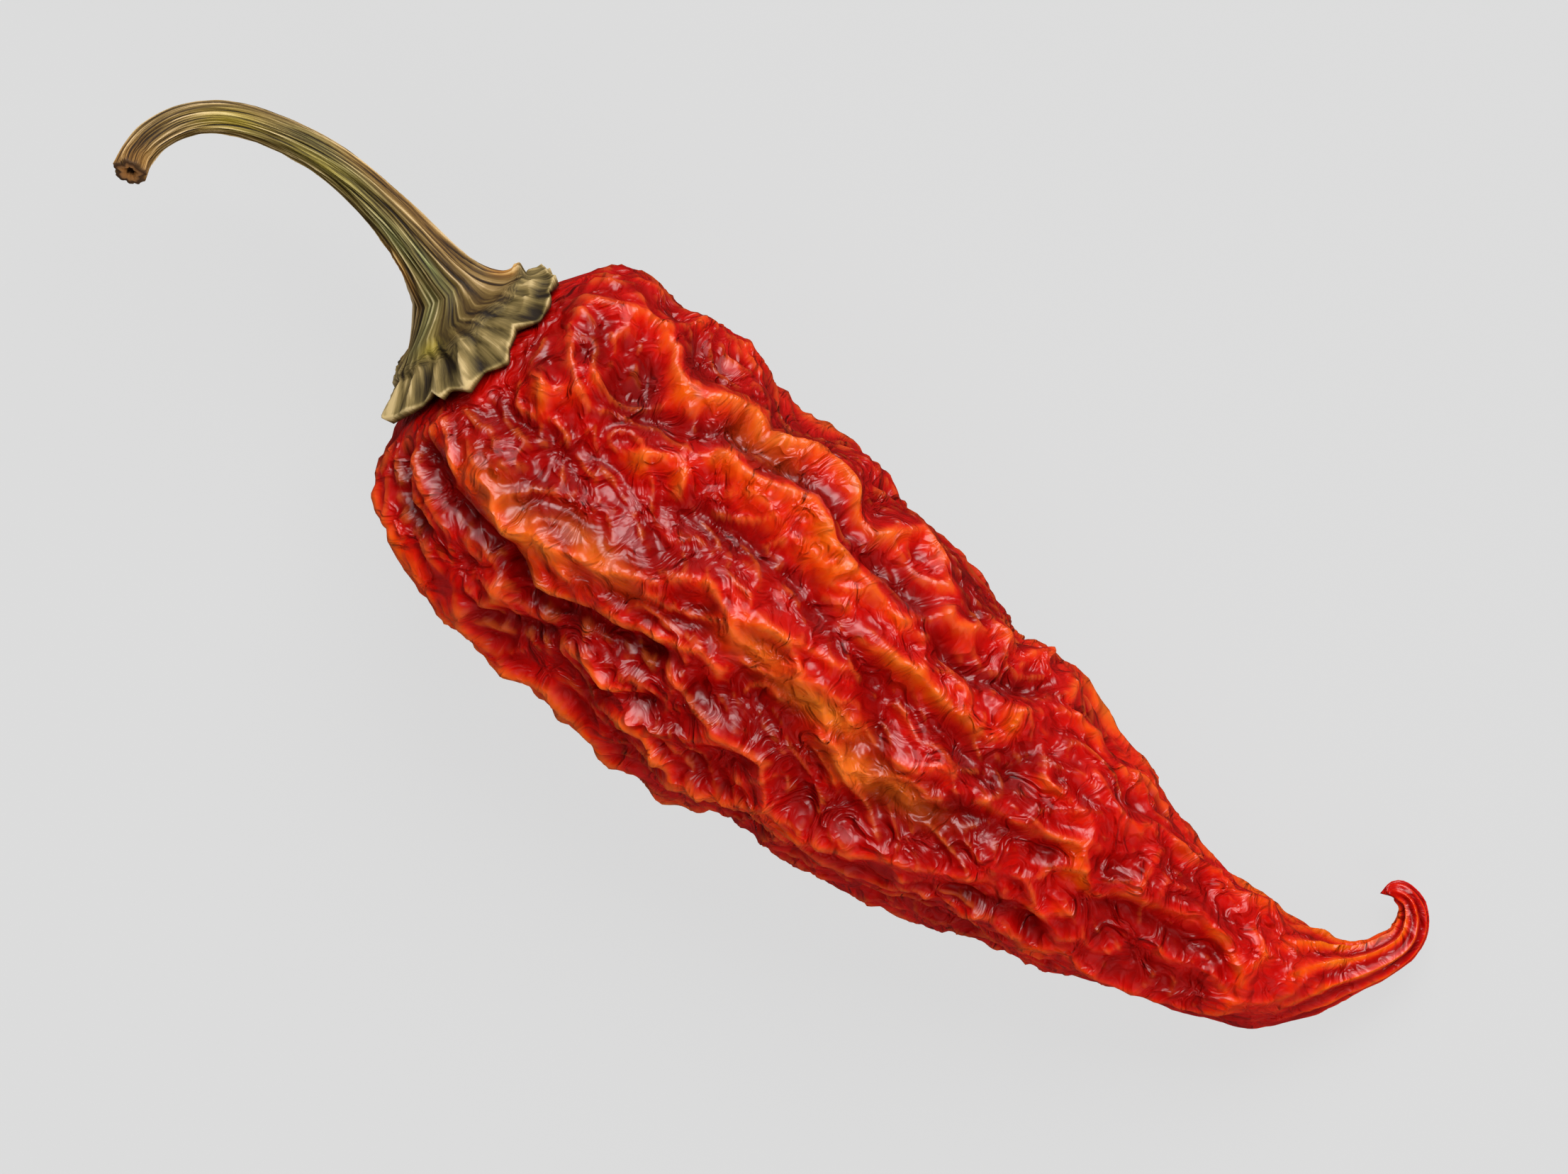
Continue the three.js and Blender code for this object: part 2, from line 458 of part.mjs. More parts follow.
/** The rows of the stalk and calyx, from the pith in the cut end to the middle of the calyx's underside. */
function stalkRows() {
  const rows = [
    (round) => stalkPoint(0, round, 0, PITH_DEPTH),
    (round) => stalkPoint(0, round, PITH_FLOOR, PITH_DEPTH),
    (round) => stalkPoint(0, round, PITH_RADIUS, PITH_EDGE),
    (round) => stalkPoint(0, round, CUT_RADIUS, 0),
  ];
  for (let i = 0; i <= STALK_ROWS; i += 1) {
    const along = THREE.MathUtils.lerp(CUT_BEVEL, STALK_LENGTH, i / STALK_ROWS);
    rows.push((round) => stalkPoint(along, round, 1, 0));
  }
  for (let i = 0; i < CALYX_ROWS; i += 1) {
    const share = THREE.MathUtils.lerp(CALYX_START, 1, i / (CALYX_ROWS - 1));
    rows.push((round) => calyxTop(share, round));
  }
  for (let i = 0; i <= CALYX_UNDER_ROWS; i += 1) {
    rows.push((round) => calyxUnderside(1 - i / CALYX_UNDER_ROWS, round));
  }
  return rows;
}

// Meshes

/** A closed skin from rows of points: the first and the last row shrink to one point each. */
function closedSkin(around, rows) {
  const geometry = new THREE.SphereGeometry(1, around, rows.length - 1);
  const position = geometry.getAttribute('position');
  for (let row = 0; row < rows.length; row += 1) {
    const isEnd = row === 0 || row === rows.length - 1;
    for (let column = 0; column <= around; column += 1) {
      const round = isEnd ? 0 : 2 * Math.PI * (1 - (column % around) / around);
      const point = rows[row](round);
      position.setXYZ(row * (around + 1) + column, point.x, point.y, point.z);
    }
  }
  geometry.computeVertexNormals();
  return geometry;
}

/** The pod's rows: closer together under the calyx, then evenly spaced to the tip. */
function podRows() {
  const places = [];
  for (let i = 0; i < SHOULDER_ROWS; i += 1) places.push(SHOULDER_LENGTH * (i / SHOULDER_ROWS) ** 2);
  const bodyRows = Math.round((POD_LENGTH - SHOULDER_LENGTH) / BODY_SPACING);
  for (let i = 0; i <= bodyRows; i += 1) {
    places.push(SHOULDER_LENGTH + ((POD_LENGTH - SHOULDER_LENGTH) * i) / bodyRows);
  }
  return places.map((along) => (round) => podSkin(along, round));
}

const podMaterial = new THREE.MeshStandardMaterial({ color: 0x9e1410, roughness: 0.35, metalness: 0 });
const stalkMaterial = new THREE.MeshStandardMaterial({ color: 0x6e6a3a, roughness: 0.75, metalness: 0 });

const pod = new THREE.Mesh(closedSkin(POD_AROUND, podRows()), podMaterial);
pod.name = 'pod';

const stalk = new THREE.Mesh(closedSkin(STALK_AROUND, stalkRows()), stalkMaterial);
stalk.name = 'stalk_calyx';

const chilli = new THREE.Group();
chilli.add(pod, stalk);

export default chilli;
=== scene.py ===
"""Studio scene of a dried red chilli pepper that lies on its side.

The pod is one deeply wrinkled skin. The stalk and the calyx are one piece of dry fibre. Both are raised from
smooth forms by formulas, in millimetres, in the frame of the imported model, and turned to metres at the end.
"""
import logging
import math
from collections.abc import Mapping, Sequence
from dataclasses import dataclass, field
from enum import Enum

import bpy
import numpy as np
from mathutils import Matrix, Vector


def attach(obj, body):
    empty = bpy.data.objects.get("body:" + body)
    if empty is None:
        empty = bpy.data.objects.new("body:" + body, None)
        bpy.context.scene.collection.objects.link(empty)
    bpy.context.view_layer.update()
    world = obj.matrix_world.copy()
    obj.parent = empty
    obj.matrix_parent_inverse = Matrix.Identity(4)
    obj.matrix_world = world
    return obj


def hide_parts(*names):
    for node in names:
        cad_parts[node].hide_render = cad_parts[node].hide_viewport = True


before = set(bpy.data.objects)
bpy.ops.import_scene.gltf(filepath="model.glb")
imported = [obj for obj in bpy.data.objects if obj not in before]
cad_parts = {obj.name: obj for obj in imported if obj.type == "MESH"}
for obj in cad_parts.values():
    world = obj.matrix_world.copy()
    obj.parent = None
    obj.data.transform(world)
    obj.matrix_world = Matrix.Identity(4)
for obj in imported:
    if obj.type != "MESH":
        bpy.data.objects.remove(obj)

Array = np.ndarray
Pair = tuple[float, float]
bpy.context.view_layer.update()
LOG = logging.getLogger("chilli")
METRES = 0.001                  # one millimetre
DEGREE = math.pi / 180.0
TURN = 2.0 * math.pi


@dataclass(frozen=True)
class Fold:
    """A raised fold: its height as a share, its reach in mm, and its crest as mm along and degrees round."""

    rise: float
    reach: float
    line: tuple[Pair, ...]


@dataclass(frozen=True)
class Cleft:
    """A sharp furrow between folds: depth and half width in mm, and its floor as mm along, degrees round."""

    depth: float
    width: float
    line: tuple[Pair, ...]


# Crests of the folds that show from above. Degrees run from the +Y edge over the top.
FOLDS = (
    Fold(0.7, 1.6, ((4.9, 37), (6.2, 36), (6.8, 32), (6.9, 27), (8.5, 26))),
    Fold(0.8, 1.7, ((6.5, 43), (8, 38), (10.4, 36), (11, 31), (11.6, 20))),
    Fold(1.0, 2.4, ((6, 51), (7, 48), (8.8, 43), (10, 40.5), (12, 43), (13, 47), (14.5, 49.5),
        (16.5, 50), (17.5, 45), (20, 38.5), (22, 43.5), (24, 38), (27, 32), (29, 36), (31, 42),
        (33, 43.5), (34, 39), (35.2, 30), (37, 32), (38.5, 40))),
    Fold(1.0, 2.6, ((20, 58.5), (24, 57), (28, 52), (31, 57), (32.5, 60), (36, 61), (37.8, 62),
        (39, 54), (39.7, 48), (41.5, 45), (43, 36), (46.5, 32.5), (48.3, 18))),
    Fold(0.75, 1.5, ((16.2, 74), (17, 71), (18.2, 67), (19, 69), (20, 75))),
    Fold(0.9, 1.9, ((6.1, 52), (6.3, 62), (7, 67), (8, 71), (9.8, 69))),
    Fold(0.8, 1.7, ((8.4, 45), (8.6, 55), (9.5, 60), (9.9, 70))),
    Fold(0.8, 1.8, ((8.1, 82), (9.3, 76), (10, 73))),
    Fold(1.1, 2.8, ((4, 113), (6, 119), (8, 117), (10.5, 112), (13.3, 117), (14.6, 112), (17, 110),
        (19.5, 103), (22.5, 99), (24.7, 91), (27, 86.5), (29.2, 90), (33, 87.5), (36.4, 85))),
    Fold(0.8, 1.6, ((6, 121), (8.5, 123.5), (12, 121), (14, 119), (16.5, 124.5), (18, 124), (20, 120),
        (24, 114), (28, 106), (30, 107))),
    Fold(0.6, 1.3, ((26, 119), (27, 117), (28.3, 119))),
    Fold(0.6, 1.3, ((21, 135), (22.5, 134), (24.5, 135), (25.3, 133.5))),
    Fold(0.7, 1.5, ((15.2, 132), (15.8, 138), (15.4, 145), (14.5, 152))),
    Fold(0.9, 2.2, ((6, 157), (8, 154.5), (12, 155), (13.5, 158), (14.5, 164))),
    Fold(0.9, 2.0, ((14.8, 150), (15.5, 156), (17.5, 162), (20.5, 161), (22, 158), (23.8, 162),
        (26, 163), (28, 170))),
    Fold(1.0, 2.4, ((35, 76), (37.5, 74.5), (40, 71), (44, 71.5), (48, 71), (49.3, 66), (48.8, 57),
        (50.2, 50))),
    Fold(0.65, 1.3, ((39.7, 60), (40.8, 70))),
    Fold(0.7, 1.3, ((42.6, 70), (43.2, 65), (44, 62), (45, 63), (45.8, 70))),
    Fold(0.8, 1.6, ((51.2, 22), (51.7, 38), (54, 38), (56.5, 42), (58, 33))),
    Fold(0.8, 1.7, ((51.9, 61), (52.3, 65), (53.3, 72), (55, 71.5), (57, 73))),
    Fold(0.9, 1.9, ((44, 97), (46, 89), (49.5, 87), (50.6, 92), (53.8, 91), (57.3, 82))),
    Fold(0.8, 1.5, ((28.3, 91), (29, 95), (30.2, 96.5), (32.5, 95.5), (35, 91.5))),
    Fold(0.95, 1.9, ((34.7, 96), (37, 98), (38.8, 104), (41, 109), (43.6, 105), (46, 104), (47.5, 99))),
    Fold(0.8, 1.6, ((34, 93), (38, 94), (39.5, 97), (40, 101))),
    Fold(0.6, 1.2, ((41.8, 112), (41.2, 119))),
    Fold(1.05, 2.4, ((32, 125), (34, 123), (36, 124), (38.5, 137), (41.5, 143), (43, 139), (47.3, 126),
        (49, 124), (53, 118))),
    Fold(0.8, 1.6, ((35.5, 136), (39, 145), (42.2, 147), (45.6, 148), (48.5, 147))),
    Fold(0.85, 1.8, ((27, 142), (29, 141), (31, 148), (32, 152), (35, 149), (36.8, 144))),
    Fold(0.8, 1.6, ((48.2, 130), (48.8, 138), (50.5, 136), (53, 136), (53.5, 128))),
    Fold(1.0, 2.0, ((55.5, 55), (58.8, 62), (60, 59), (61.8, 46), (64, 47), (67.2, 36.5), (70, 38.5),
        (72, 33), (72.8, 22))),
    Fold(0.8, 1.3, ((62.3, 60), (62.5, 78), (62.6, 86))),
    Fold(0.75, 1.2, ((64, 76), (64, 70), (66.8, 60), (67.9, 67), (66, 73))),
    Fold(0.6, 1.1, ((68, 47), (68, 60))),
    Fold(1.0, 1.9, ((58, 90), (60.3, 101), (62.2, 90), (65, 84), (67.5, 74), (70.2, 80), (71.7, 95),
        (72.2, 105))),
    Fold(0.7, 1.1, ((72.2, 61), (73, 68), (73.4, 80), (72.7, 90))),
    Fold(0.8, 1.3, ((72.3, 123), (75, 121), (76.5, 104.5), (77.8, 108))),
    Fold(0.8, 1.3, ((66.5, 106), (68, 106), (69.6, 98), (71.6, 118), (72, 122))),
    Fold(1.0, 1.9, ((54.2, 134), (56, 132), (58.5, 143), (60.8, 134.5), (62.8, 140), (66, 143),
        (70.6, 148), (72, 136))),
    Fold(0.8, 1.5, ((54.4, 123), (58, 121), (59.5, 112), (60, 110))),
    Fold(0.8, 1.4, ((60, 126), (61.2, 121), (62.8, 127), (64, 120))),
    Fold(0.9, 1.2, ((79, 75), (80, 95), (80.5, 115), (81.3, 140), (82, 150))),
    Fold(0.8, 1.0, ((81, 87), (82.7, 105), (85, 80), (85.5, 65))),
)

# Floors of the furrows between them.
CLEFTS = (
    Cleft(2.2, 1.0, ((6, 124), (9, 125.5), (12, 124), (14, 122), (15.5, 126), (17, 128.5), (19, 126),
        (21, 121.5), (24, 118.5), (26, 117))),
    Cleft(0.9, 1.0, ((3.8, 98), (6, 97.5), (8, 95), (10, 91.5), (12, 90))),
    Cleft(0.9, 1.1, ((12, 51), (14.3, 62), (17.5, 55), (20, 47), (24, 46), (28, 44), (31, 47),
        (38, 50))),
    Cleft(1.0, 1.2, ((20, 77), (23, 72), (30, 71.5), (34, 76), (39, 79), (46, 76), (49, 76),
        (51.5, 66))),
    Cleft(0.8, 1.0, ((39, 83), (41.5, 91), (43.3, 102))),
    Cleft(0.9, 1.1, ((44.5, 110), (48.5, 100), (52, 95), (56, 93))),
    Cleft(0.7, 0.9, ((48, 86), (50, 83), (51, 77))),
    Cleft(0.8, 1.0, ((53, 127), (57, 127), (58, 131))),
    Cleft(0.8, 1.0, ((60.3, 104), (63, 95), (65, 90), (70, 92))),
    Cleft(0.7, 0.8, ((39, 56), (42.5, 55), (46, 50), (48.5, 42))),
    Cleft(0.9, 1.0, ((15.5, 146), (18, 143), (20, 138), (21, 132))),
    Cleft(1.3, 0.7, ((3.9, 138), (5.5, 141), (7.5, 144), (9.5, 144))),
)

# Broad swells and dips: mm along, degrees round, reach along and across in mm, rise in mm.
SWELLS = (
    (9, 142, 6, 6, 1.1), (8.5, 88, 3.5, 4, 0.8), (7.5, 58, 3.5, 4, 0.7), (11.5, 60, 2.5, 3, -1.0),
    (50, 158, 9, 3.5, -1.0), (21, 88, 6, 4, -0.5), (33, 112, 5, 4, -0.6), (20, 250, 9, 6, 0.5),
    (44, 300, 9, 5, -0.7), (34, 215, 7, 6, -0.6), (6.5, 5, 3, 6, 1.0), (16, 3, 4.2, 5, 2.0),
    (23, 3, 3, 5, -0.9), (30, 3, 3.5, 5, 1.3), (39, 3, 4, 5, 0.9), (46, 3, 1.6, 5, -1.3),
    (50.5, 3, 2, 5, 0.6), (55.5, 3, 2.5, 5, -1.6), (64, 0, 6, 4, -1.1), (8.5, 180, 2.5, 6, -0.3),
    (23, 180, 4, 6, -0.7), (27.5, 180, 2, 5, -0.5), (31.5, 180, 2, 5, 0.6), (43, 180, 6, 5, 0.9),
    (61, 180, 2, 4, 0.5), (69, 180, 3, 4, -0.7),
)

# The pod's middle line and its half width and half height there: x, y, z, across, up.
POD_STATIONS = (
    (-33.4, 4.15, 12.3, 0, 0), (-32.8, 4.05, 12.3, 3.2, 3.0), (-31.5, 3.75, 12.2, 6.1, 5.2),
    (-30.4, 3.5, 12.1, 8.7, 6.9), (-29.0, 3.2, 12.0, 11.1, 8.6), (-25.5, 2.45, 11.8, 13.0, 10.7),
    (-20.0, 1.25, 11.6, 14.0, 12.1), (-12.0, 0.2, 11.5, 14.0, 12.5), (-4.0, -0.2, 11.5, 14.0, 12.4),
    (4.0, -0.35, 10.6, 12.6, 11.5), (12.0, -0.9, 9.9, 11.4, 10.6), (20.0, -0.5, 8.9, 10.0, 9.5),
    (27.0, -0.4, 7.4, 7.9, 7.8), (33.0, -0.3, 6.0, 6.1, 6.2), (38.0, 0.65, 5.2, 5.0, 5.0),
    (41.7, 2.4, 4.3, 3.5, 3.7), (44.8, 4.9, 3.3, 1.75, 2.1), (46.6, 8.0, 2.6, 1.35, 1.6),
    (46.5, 9.9, 2.4, 1.2, 1.35), (45.5, 11.1, 2.5, 0.95, 1.05), (44.2, 11.2, 2.7, 0.75, 0.8),
    (43.4, 10.3, 2.8, 0, 0),
)

# The stalk's middle line from its cut end, and its half thickness there: x, y, z, radius.
STALK_STATIONS = (
    (-57.9, -0.45, 18.2, 1.2), (-58.25, 0.95, 17.0, 1.12), (-58.1, 2.55, 16.2, 1.1), (-57.2, 4.5, 15.7, 1.1),
    (-55.65, 6.1, 15.4, 1.1), (-53.6, 7.25, 15.2, 1.12), (-50.9, 8.05, 15.0, 1.16), (-47.9, 8.5, 14.8, 1.26),
    (-44.9, 8.45, 14.5, 1.38), (-41.9, 8.0, 14.2, 1.52), (-39.9, 7.55, 14.0, 1.7), (-38.0, 7.0, 13.8, 1.95),
    (-36.3, 6.45, 13.5, 2.35), (-35.3, 6.15, 13.2, 2.75), (-34.6, 5.85, 13.0, 3.15),
)

# The calyx's ragged rim, from corner to corner: degrees round, mm along the pod.
RIM = (
    (2, 2.3), (20, 2.6), (36, 3.3), (47, 3.45), (57, 4.2), (65, 4.4), (72, 3.8), (80, 4.35), (84, 5.15),
    (92, 4.55), (100, 5.0), (103, 4.4), (106, 4.05), (110, 4.15), (114, 3.45), (121, 3.5), (133, 3.35),
    (144, 3.25), (150, 2.4), (163, 1.6), (178, 1.3), (192, 1.7), (206, 2.6), (219, 1.8), (236, 2.9),
    (250, 2.1), (268, 3.0), (284, 2.0), (300, 2.9), (318, 1.9), (336, 2.8), (350, 1.9), (362, 2.3),
)

# Raised creases of the calyx: degrees round at the stalk's foot and at the rim, rise in mm, half width.
CREASES = (
    (46, 37, 0.45, 5), (58, 57, 0.55, 3), (76, 72, 0.35, 4), (82, 84, 0.35, 3), (93, 100, 0.6, 3),
    (112, 110, 0.3, 3), (124, 133, 0.35, 5), (140, 145, 0.5, 5), (172, 178, 0.5, 7), (200, 206, 0.5, 6),
    (232, 236, 0.5, 6), (262, 268, 0.5, 6), (298, 300, 0.5, 6), (334, 336, 0.5, 6), (6, 3, 0.5, 6),
)

# Colours of the dry fibre: name, mm along, degrees round, reach along in mm, reach round in degrees, share.
TINTS = (
    ("straw", 9.5, 95, 2.5, 40, 0.8), ("straw", 17, 115, 4, 26, 0.5), ("straw", 31.6, 112, 0.9, 12, 0.9),
    ("green", 15.5, 60, 3, 30, 0.55), ("green", 18, 105, 6, 60, 0.5), ("green", 24, 125, 4, 35, 0.75),
    ("green", 27, 92, 3, 13, 0.8), ("green", 29.5, 130, 2.5, 24, 0.6), ("green", 12, 130, 3, 20, 0.3),
    ("rust", 26.5, 163, 2.5, 20, 0.85), ("rust", 0, 90, 2.6, 400, 0.45), ("rust", 22, 30, 8, 32, 0.3),
    ("rust", 30.6, 12, 1.0, 14, 1.0),
)

# The stalk's main ribs: degrees round, width in degrees, height as a share of the half thickness.
RIBS = (
    (10, 17, 0.2), (58, 14, 0.16), (97, 13, 0.2), (150, 18, 0.17), (205, 15, 0.2), (262, 18, 0.16),
    (316, 15, 0.2),
)

# Patches of amber flesh: mm along, degrees round, reach along in mm, reach round in degrees, strength.
AMBER_PATCHES = (
    (37, 99, 3.5, 4, 0.8), (42, 108, 2.5, 5, 0.7), (45, 105, 2.5, 5, 0.6), (31, 96, 2.5, 4, 0.5),
    (15, 112, 3, 4, 0.5), (19, 104, 3, 4, 0.5), (11, 113, 2.5, 5, 0.4), (22, 42, 3, 5, 0.4),
)


# Small helpers

def unit(vectors: Array) -> Array:
    """Scales vectors to length one.

    Args:
        vectors: Vectors in the last axis.

    Returns:
        The same vectors, each of length one.
    """
    return vectors / np.maximum(np.linalg.norm(vectors, axis=-1, keepdims=True), 1e-12)


def smooth_step(values: Array, low: float, high: float) -> Array:
    """Rises smoothly from 0 to 1 between two values.

    Args:
        values: The values to judge.
        low: Where the rise starts.
        high: Where the rise ends.

    Returns:
        The share of the rise at each value.
    """
    share = np.clip((values - low) / (high - low), 0.0, 1.0)
    return share * share * (3.0 - 2.0 * share)


def sideways(tangents: Array) -> Array:
    """Gives the level direction that stands square to each tangent, on its left."""
    return unit(np.stack([-tangents[..., 1], tangents[..., 0], 0 * tangents[..., 0]], -1))


def turn_between(degrees: Array, middle: float) -> Array:
    """Gives the signed turn from a middle angle, the short way round, in degrees."""
    return np.mod(degrees - middle + 180.0, 360.0) - 180.0


def corner_number(x: Array, y: Array, z: Array, salt: int) -> Array:
    """Draws a number from 0 to 1 that is always the same for one corner of a lattice.

    Args:
        x: Whole numbers.
        y: Whole numbers.
        z: Whole numbers.
        salt: Tells one draw from another.

    Returns:
        One number for each corner.
    """
    bits = x.astype(np.uint32) * np.uint32(374761393)
    bits ^= y.astype(np.uint32) * np.uint32(668265263)
    bits ^= z.astype(np.uint32) * np.uint32(1440662683)
    bits ^= np.uint32((salt * 974634777) & 0xFFFFFFFF)
    bits = (bits ^ (bits >> np.uint32(13))) * np.uint32(1274126177)
    bits ^= bits >> np.uint32(16)
    return bits / 4294967296.0


def blurred(values: Array, rows: float, columns: float) -> Array:
    """Blurs a skin's field of values, which closes on itself round the skin.

    Args:
        values: One value for each row and column.
        rows: Reach of the blur along the skin, in rows.
        columns: Reach of the blur round the skin, in columns.

    Returns:
        The blurred field.
    """
    mirrored = np.concatenate([values, values[::-1]])
    along = np.fft.fftfreq(mirrored.shape[0])[:, None]
    around = np.fft.rfftfreq(mirrored.shape[1])[None, :]
    gain = np.exp(-2.0 * (math.pi * rows * along) ** 2 - 2.0 * (math.pi * columns * around) ** 2)
    return np.fft.irfft2(np.fft.rfft2(mirrored) * gain, s=mirrored.shape)[: len(values)]


def linear_colour(code: str) -> tuple[float, float, float, float]:
    """Turns an sRGB hex colour to linear red, green, blue and alpha.

    Args:
        code: Six hex digits after a hash.

    Returns:
        Linear values, with full alpha.
    """
    shares = [int(code[i:i + 2], 16) / 255.0 for i in (1, 3, 5)]
    red, green, blue = [c / 12.92 if c <= 0.04045 else ((c + 0.055) / 1.055) ** 2.4 for c in shares]
    return red, green, blue, 1.0


def add_node(
    tree: bpy.types.NodeTree,
    kind: str,
    inputs: Mapping[str | int, object] | None = None,
    stops: Sequence[tuple[float, str]] = (),
    **settings: object,
) -> bpy.types.Node:
    """Adds one node with its settings, its values and its links.

    Args:
        tree: The node tree.
        kind: The node's type name.
        inputs: Values or output sockets by input name or number.
        stops: Positions and sRGB colours of a colour ramp.
        settings: Properties of the node itself.

    Returns:
        The new node.
    """
    node = tree.nodes.new(kind)
    for name, value in settings.items():
        setattr(node, name, value)
    for key, value in (inputs or {}).items():
        if isinstance(value, bpy.types.NodeSocket):
            tree.links.new(value, node.inputs[key])
        else:
            node.inputs[key].default_value = value
    if stops:
        elements = node.color_ramp.elements
        while len(elements) < len(stops):
            elements.new(1.0)
        for element, (position, code) in zip(elements, stops):
            element.position = position
            element.color = linear_colour(code)
    return node


def new_material(name: str) -> tuple[bpy.types.Material, bpy.types.NodeTree]:
    """Makes an empty node material.

    Args:
        name: The material's name.

    Returns:
        The material and its node tree.
    """
    material = bpy.data.materials.new(name)
    material.use_nodes = True
    material.node_tree.nodes.clear()
    return material, material.node_tree


def finish_material(tree: bpy.types.NodeTree, shader: bpy.types.Node) -> None:
    """Links a shader to the material's output.

    Args:
        tree: The material's node tree.
        shader: The node whose first output is the surface.
    """
    add_node(tree, "ShaderNodeOutputMaterial", {"Surface": shader.outputs[0]})


# Forms

@dataclass(frozen=True)
class Route:
    """A smooth line through stations: points, directions and sizes at every distance along it."""

    along: Array
    points: Array
    tangents: Array
    sizes: Array

    @classmethod
    def through(cls, stations: Sequence[Sequence[float]], in_plan: bool) -> "Route":
        """Draws the line through its stations.

        Args:
            stations: x, y, z and then the sizes there, in mm.
            in_plan: Measures along the line as seen from above.

        Returns:
            The sampled line.
        """
        steps = 40
        rows = np.array(stations, float)
        rows = np.vstack([2 * rows[0] - rows[1], rows, 2 * rows[-1] - rows[-2]])
        t = np.linspace(0.0, 1.0, steps, endpoint=False)[:, None]
        parts = []
        for before, start, end, after in zip(rows, rows[1:], rows[2:], rows[3:]):
            parts.append(
                (2 * t**3 - 3 * t**2 + 1) * start + (t**3 - 2 * t**2 + t) * (end - before) / 2
                + (-2 * t**3 + 3 * t**2) * end + (t**3 - t**2) * (after - start) / 2
            )
        samples = np.vstack([*parts, rows[-2:-1]])
        points, sizes = samples[:, :3], np.maximum(samples[:, 3:], 0.0)
        strides = np.diff(points, axis=0)
        reach = np.linalg.norm(strides[:, :2] if in_plan else strides, axis=1)
        tangents = unit(np.gradient(points, axis=0))
        return cls(np.concatenate([[0.0], np.cumsum(reach)]), points, tangents, sizes)

    @property
    def length(self) -> float:
        """The distance from the first station to the last."""
        return float(self.along[-1])

    def at(self, along: Array) -> tuple[Array, Array, Array]:
        """Looks up the line at distances along it.

        Args:
            along: Distances in mm, in any shape.

        Returns:
            Points, directions and sizes, each with its own last axis.
        """
        found = [
            np.stack([np.interp(along, self.along, column) for column in table.T], -1)
            for table in (self.points, self.tangents, self.sizes)
        ]
        return found[0], unit(found[1]), found[2]


def slope_noise(places: Array, salt: int) -> Array:
    """Makes smooth noise: slopes drawn at the corners of a lattice and blended between them.

    Args:
        places: Places in the last axis, in lattice cells.
        salt: Tells one draw from another.

    Returns:
        Values from about -1 to 1.
    """
    p = np.moveaxis(places, -1, 0)
    home = np.floor(p).astype(np.int64)
    inside = p - home
    ease = inside**3 * (inside * (6.0 * inside - 15.0) + 10.0)
    total = np.zeros(p.shape[1:])
    for step in np.ndindex(2, 2, 2):
        offset = np.array(step).reshape(3, *[1] * (p.ndim - 1))
        corner = home + offset
        weight = np.where(offset == 1, ease, 1.0 - ease).prod(0)
        slopes = np.stack([2.0 * corner_number(*corner, salt + axis) - 1.0 for axis in range(3)])
        total += weight * (slopes * (inside - offset)).sum(0)
    return total


@dataclass(frozen=True)
class Crumple:
    """Crumpled skin: bent ridges with sloping facets between them, as dry parchment has."""

    cell: tuple[float, float, float]     # mm along the piece and across it
    height: float                        # mm
    salt: int = 11
    mean: float = 0.45                   # share of the height that lies below the mean skin
    spread: float = 0.42                 # how far the slopes run down from a ridge
    warp: float = 0.3                    # how far the ridges bend, as a share of a cell

    def ridges(self, places: Array) -> Array:
        """Finds how near each place is to a ridge.

        Args:
            places: Straightened places on the piece, in mm.

        Returns:
            1 on a ridge, sloping down to 0 in the hollows.
        """
        u, v, w = np.moveaxis(places / np.array(self.cell), -1, 0)
        bent = np.stack([
            u + self.warp * np.sin(1.7 * v + 0.9 * w),
            v + self.warp * np.sin(1.9 * w + 1.1 * u + 1.3),
            w + self.warp * np.sin(1.6 * u + 1.2 * v + 2.1),
        ], -1)
        return 1.0 - np.minimum(np.abs(slope_noise(bent, self.salt)) / self.spread, 1.0)


def distance_to_line(line: Sequence[Pair], along: Array, degrees: Array, radius: Array) -> Array:
    """Measures, on the skin, how far places are from a line drawn on it.

    Args:
        line: The line's points as mm along and degrees round.
        along: mm along, one a row.
        degrees: Degrees round, one a column.
        radius: The skin's radius in mm, one a row.

    Returns:
        The distance in mm at each row and column.
    """
    scale = radius * DEGREE
    nearest = np.full(np.broadcast_shapes(along.shape, degrees.shape), np.inf)
    for (s0, d0), (s1, d1) in zip(line, line[1:]):
        from_along, from_round = along - s0, (degrees - d0) * scale
        to_along, to_round = s1 - s0, (d1 - d0) * scale
        share = (from_along * to_along + from_round * to_round) / (to_along**2 + to_round**2)
        share = np.clip(share, 0.0, 1.0)
        gap = np.hypot(from_along - share * to_along, from_round - share * to_round)
        nearest = np.minimum(nearest, gap)
    return nearest


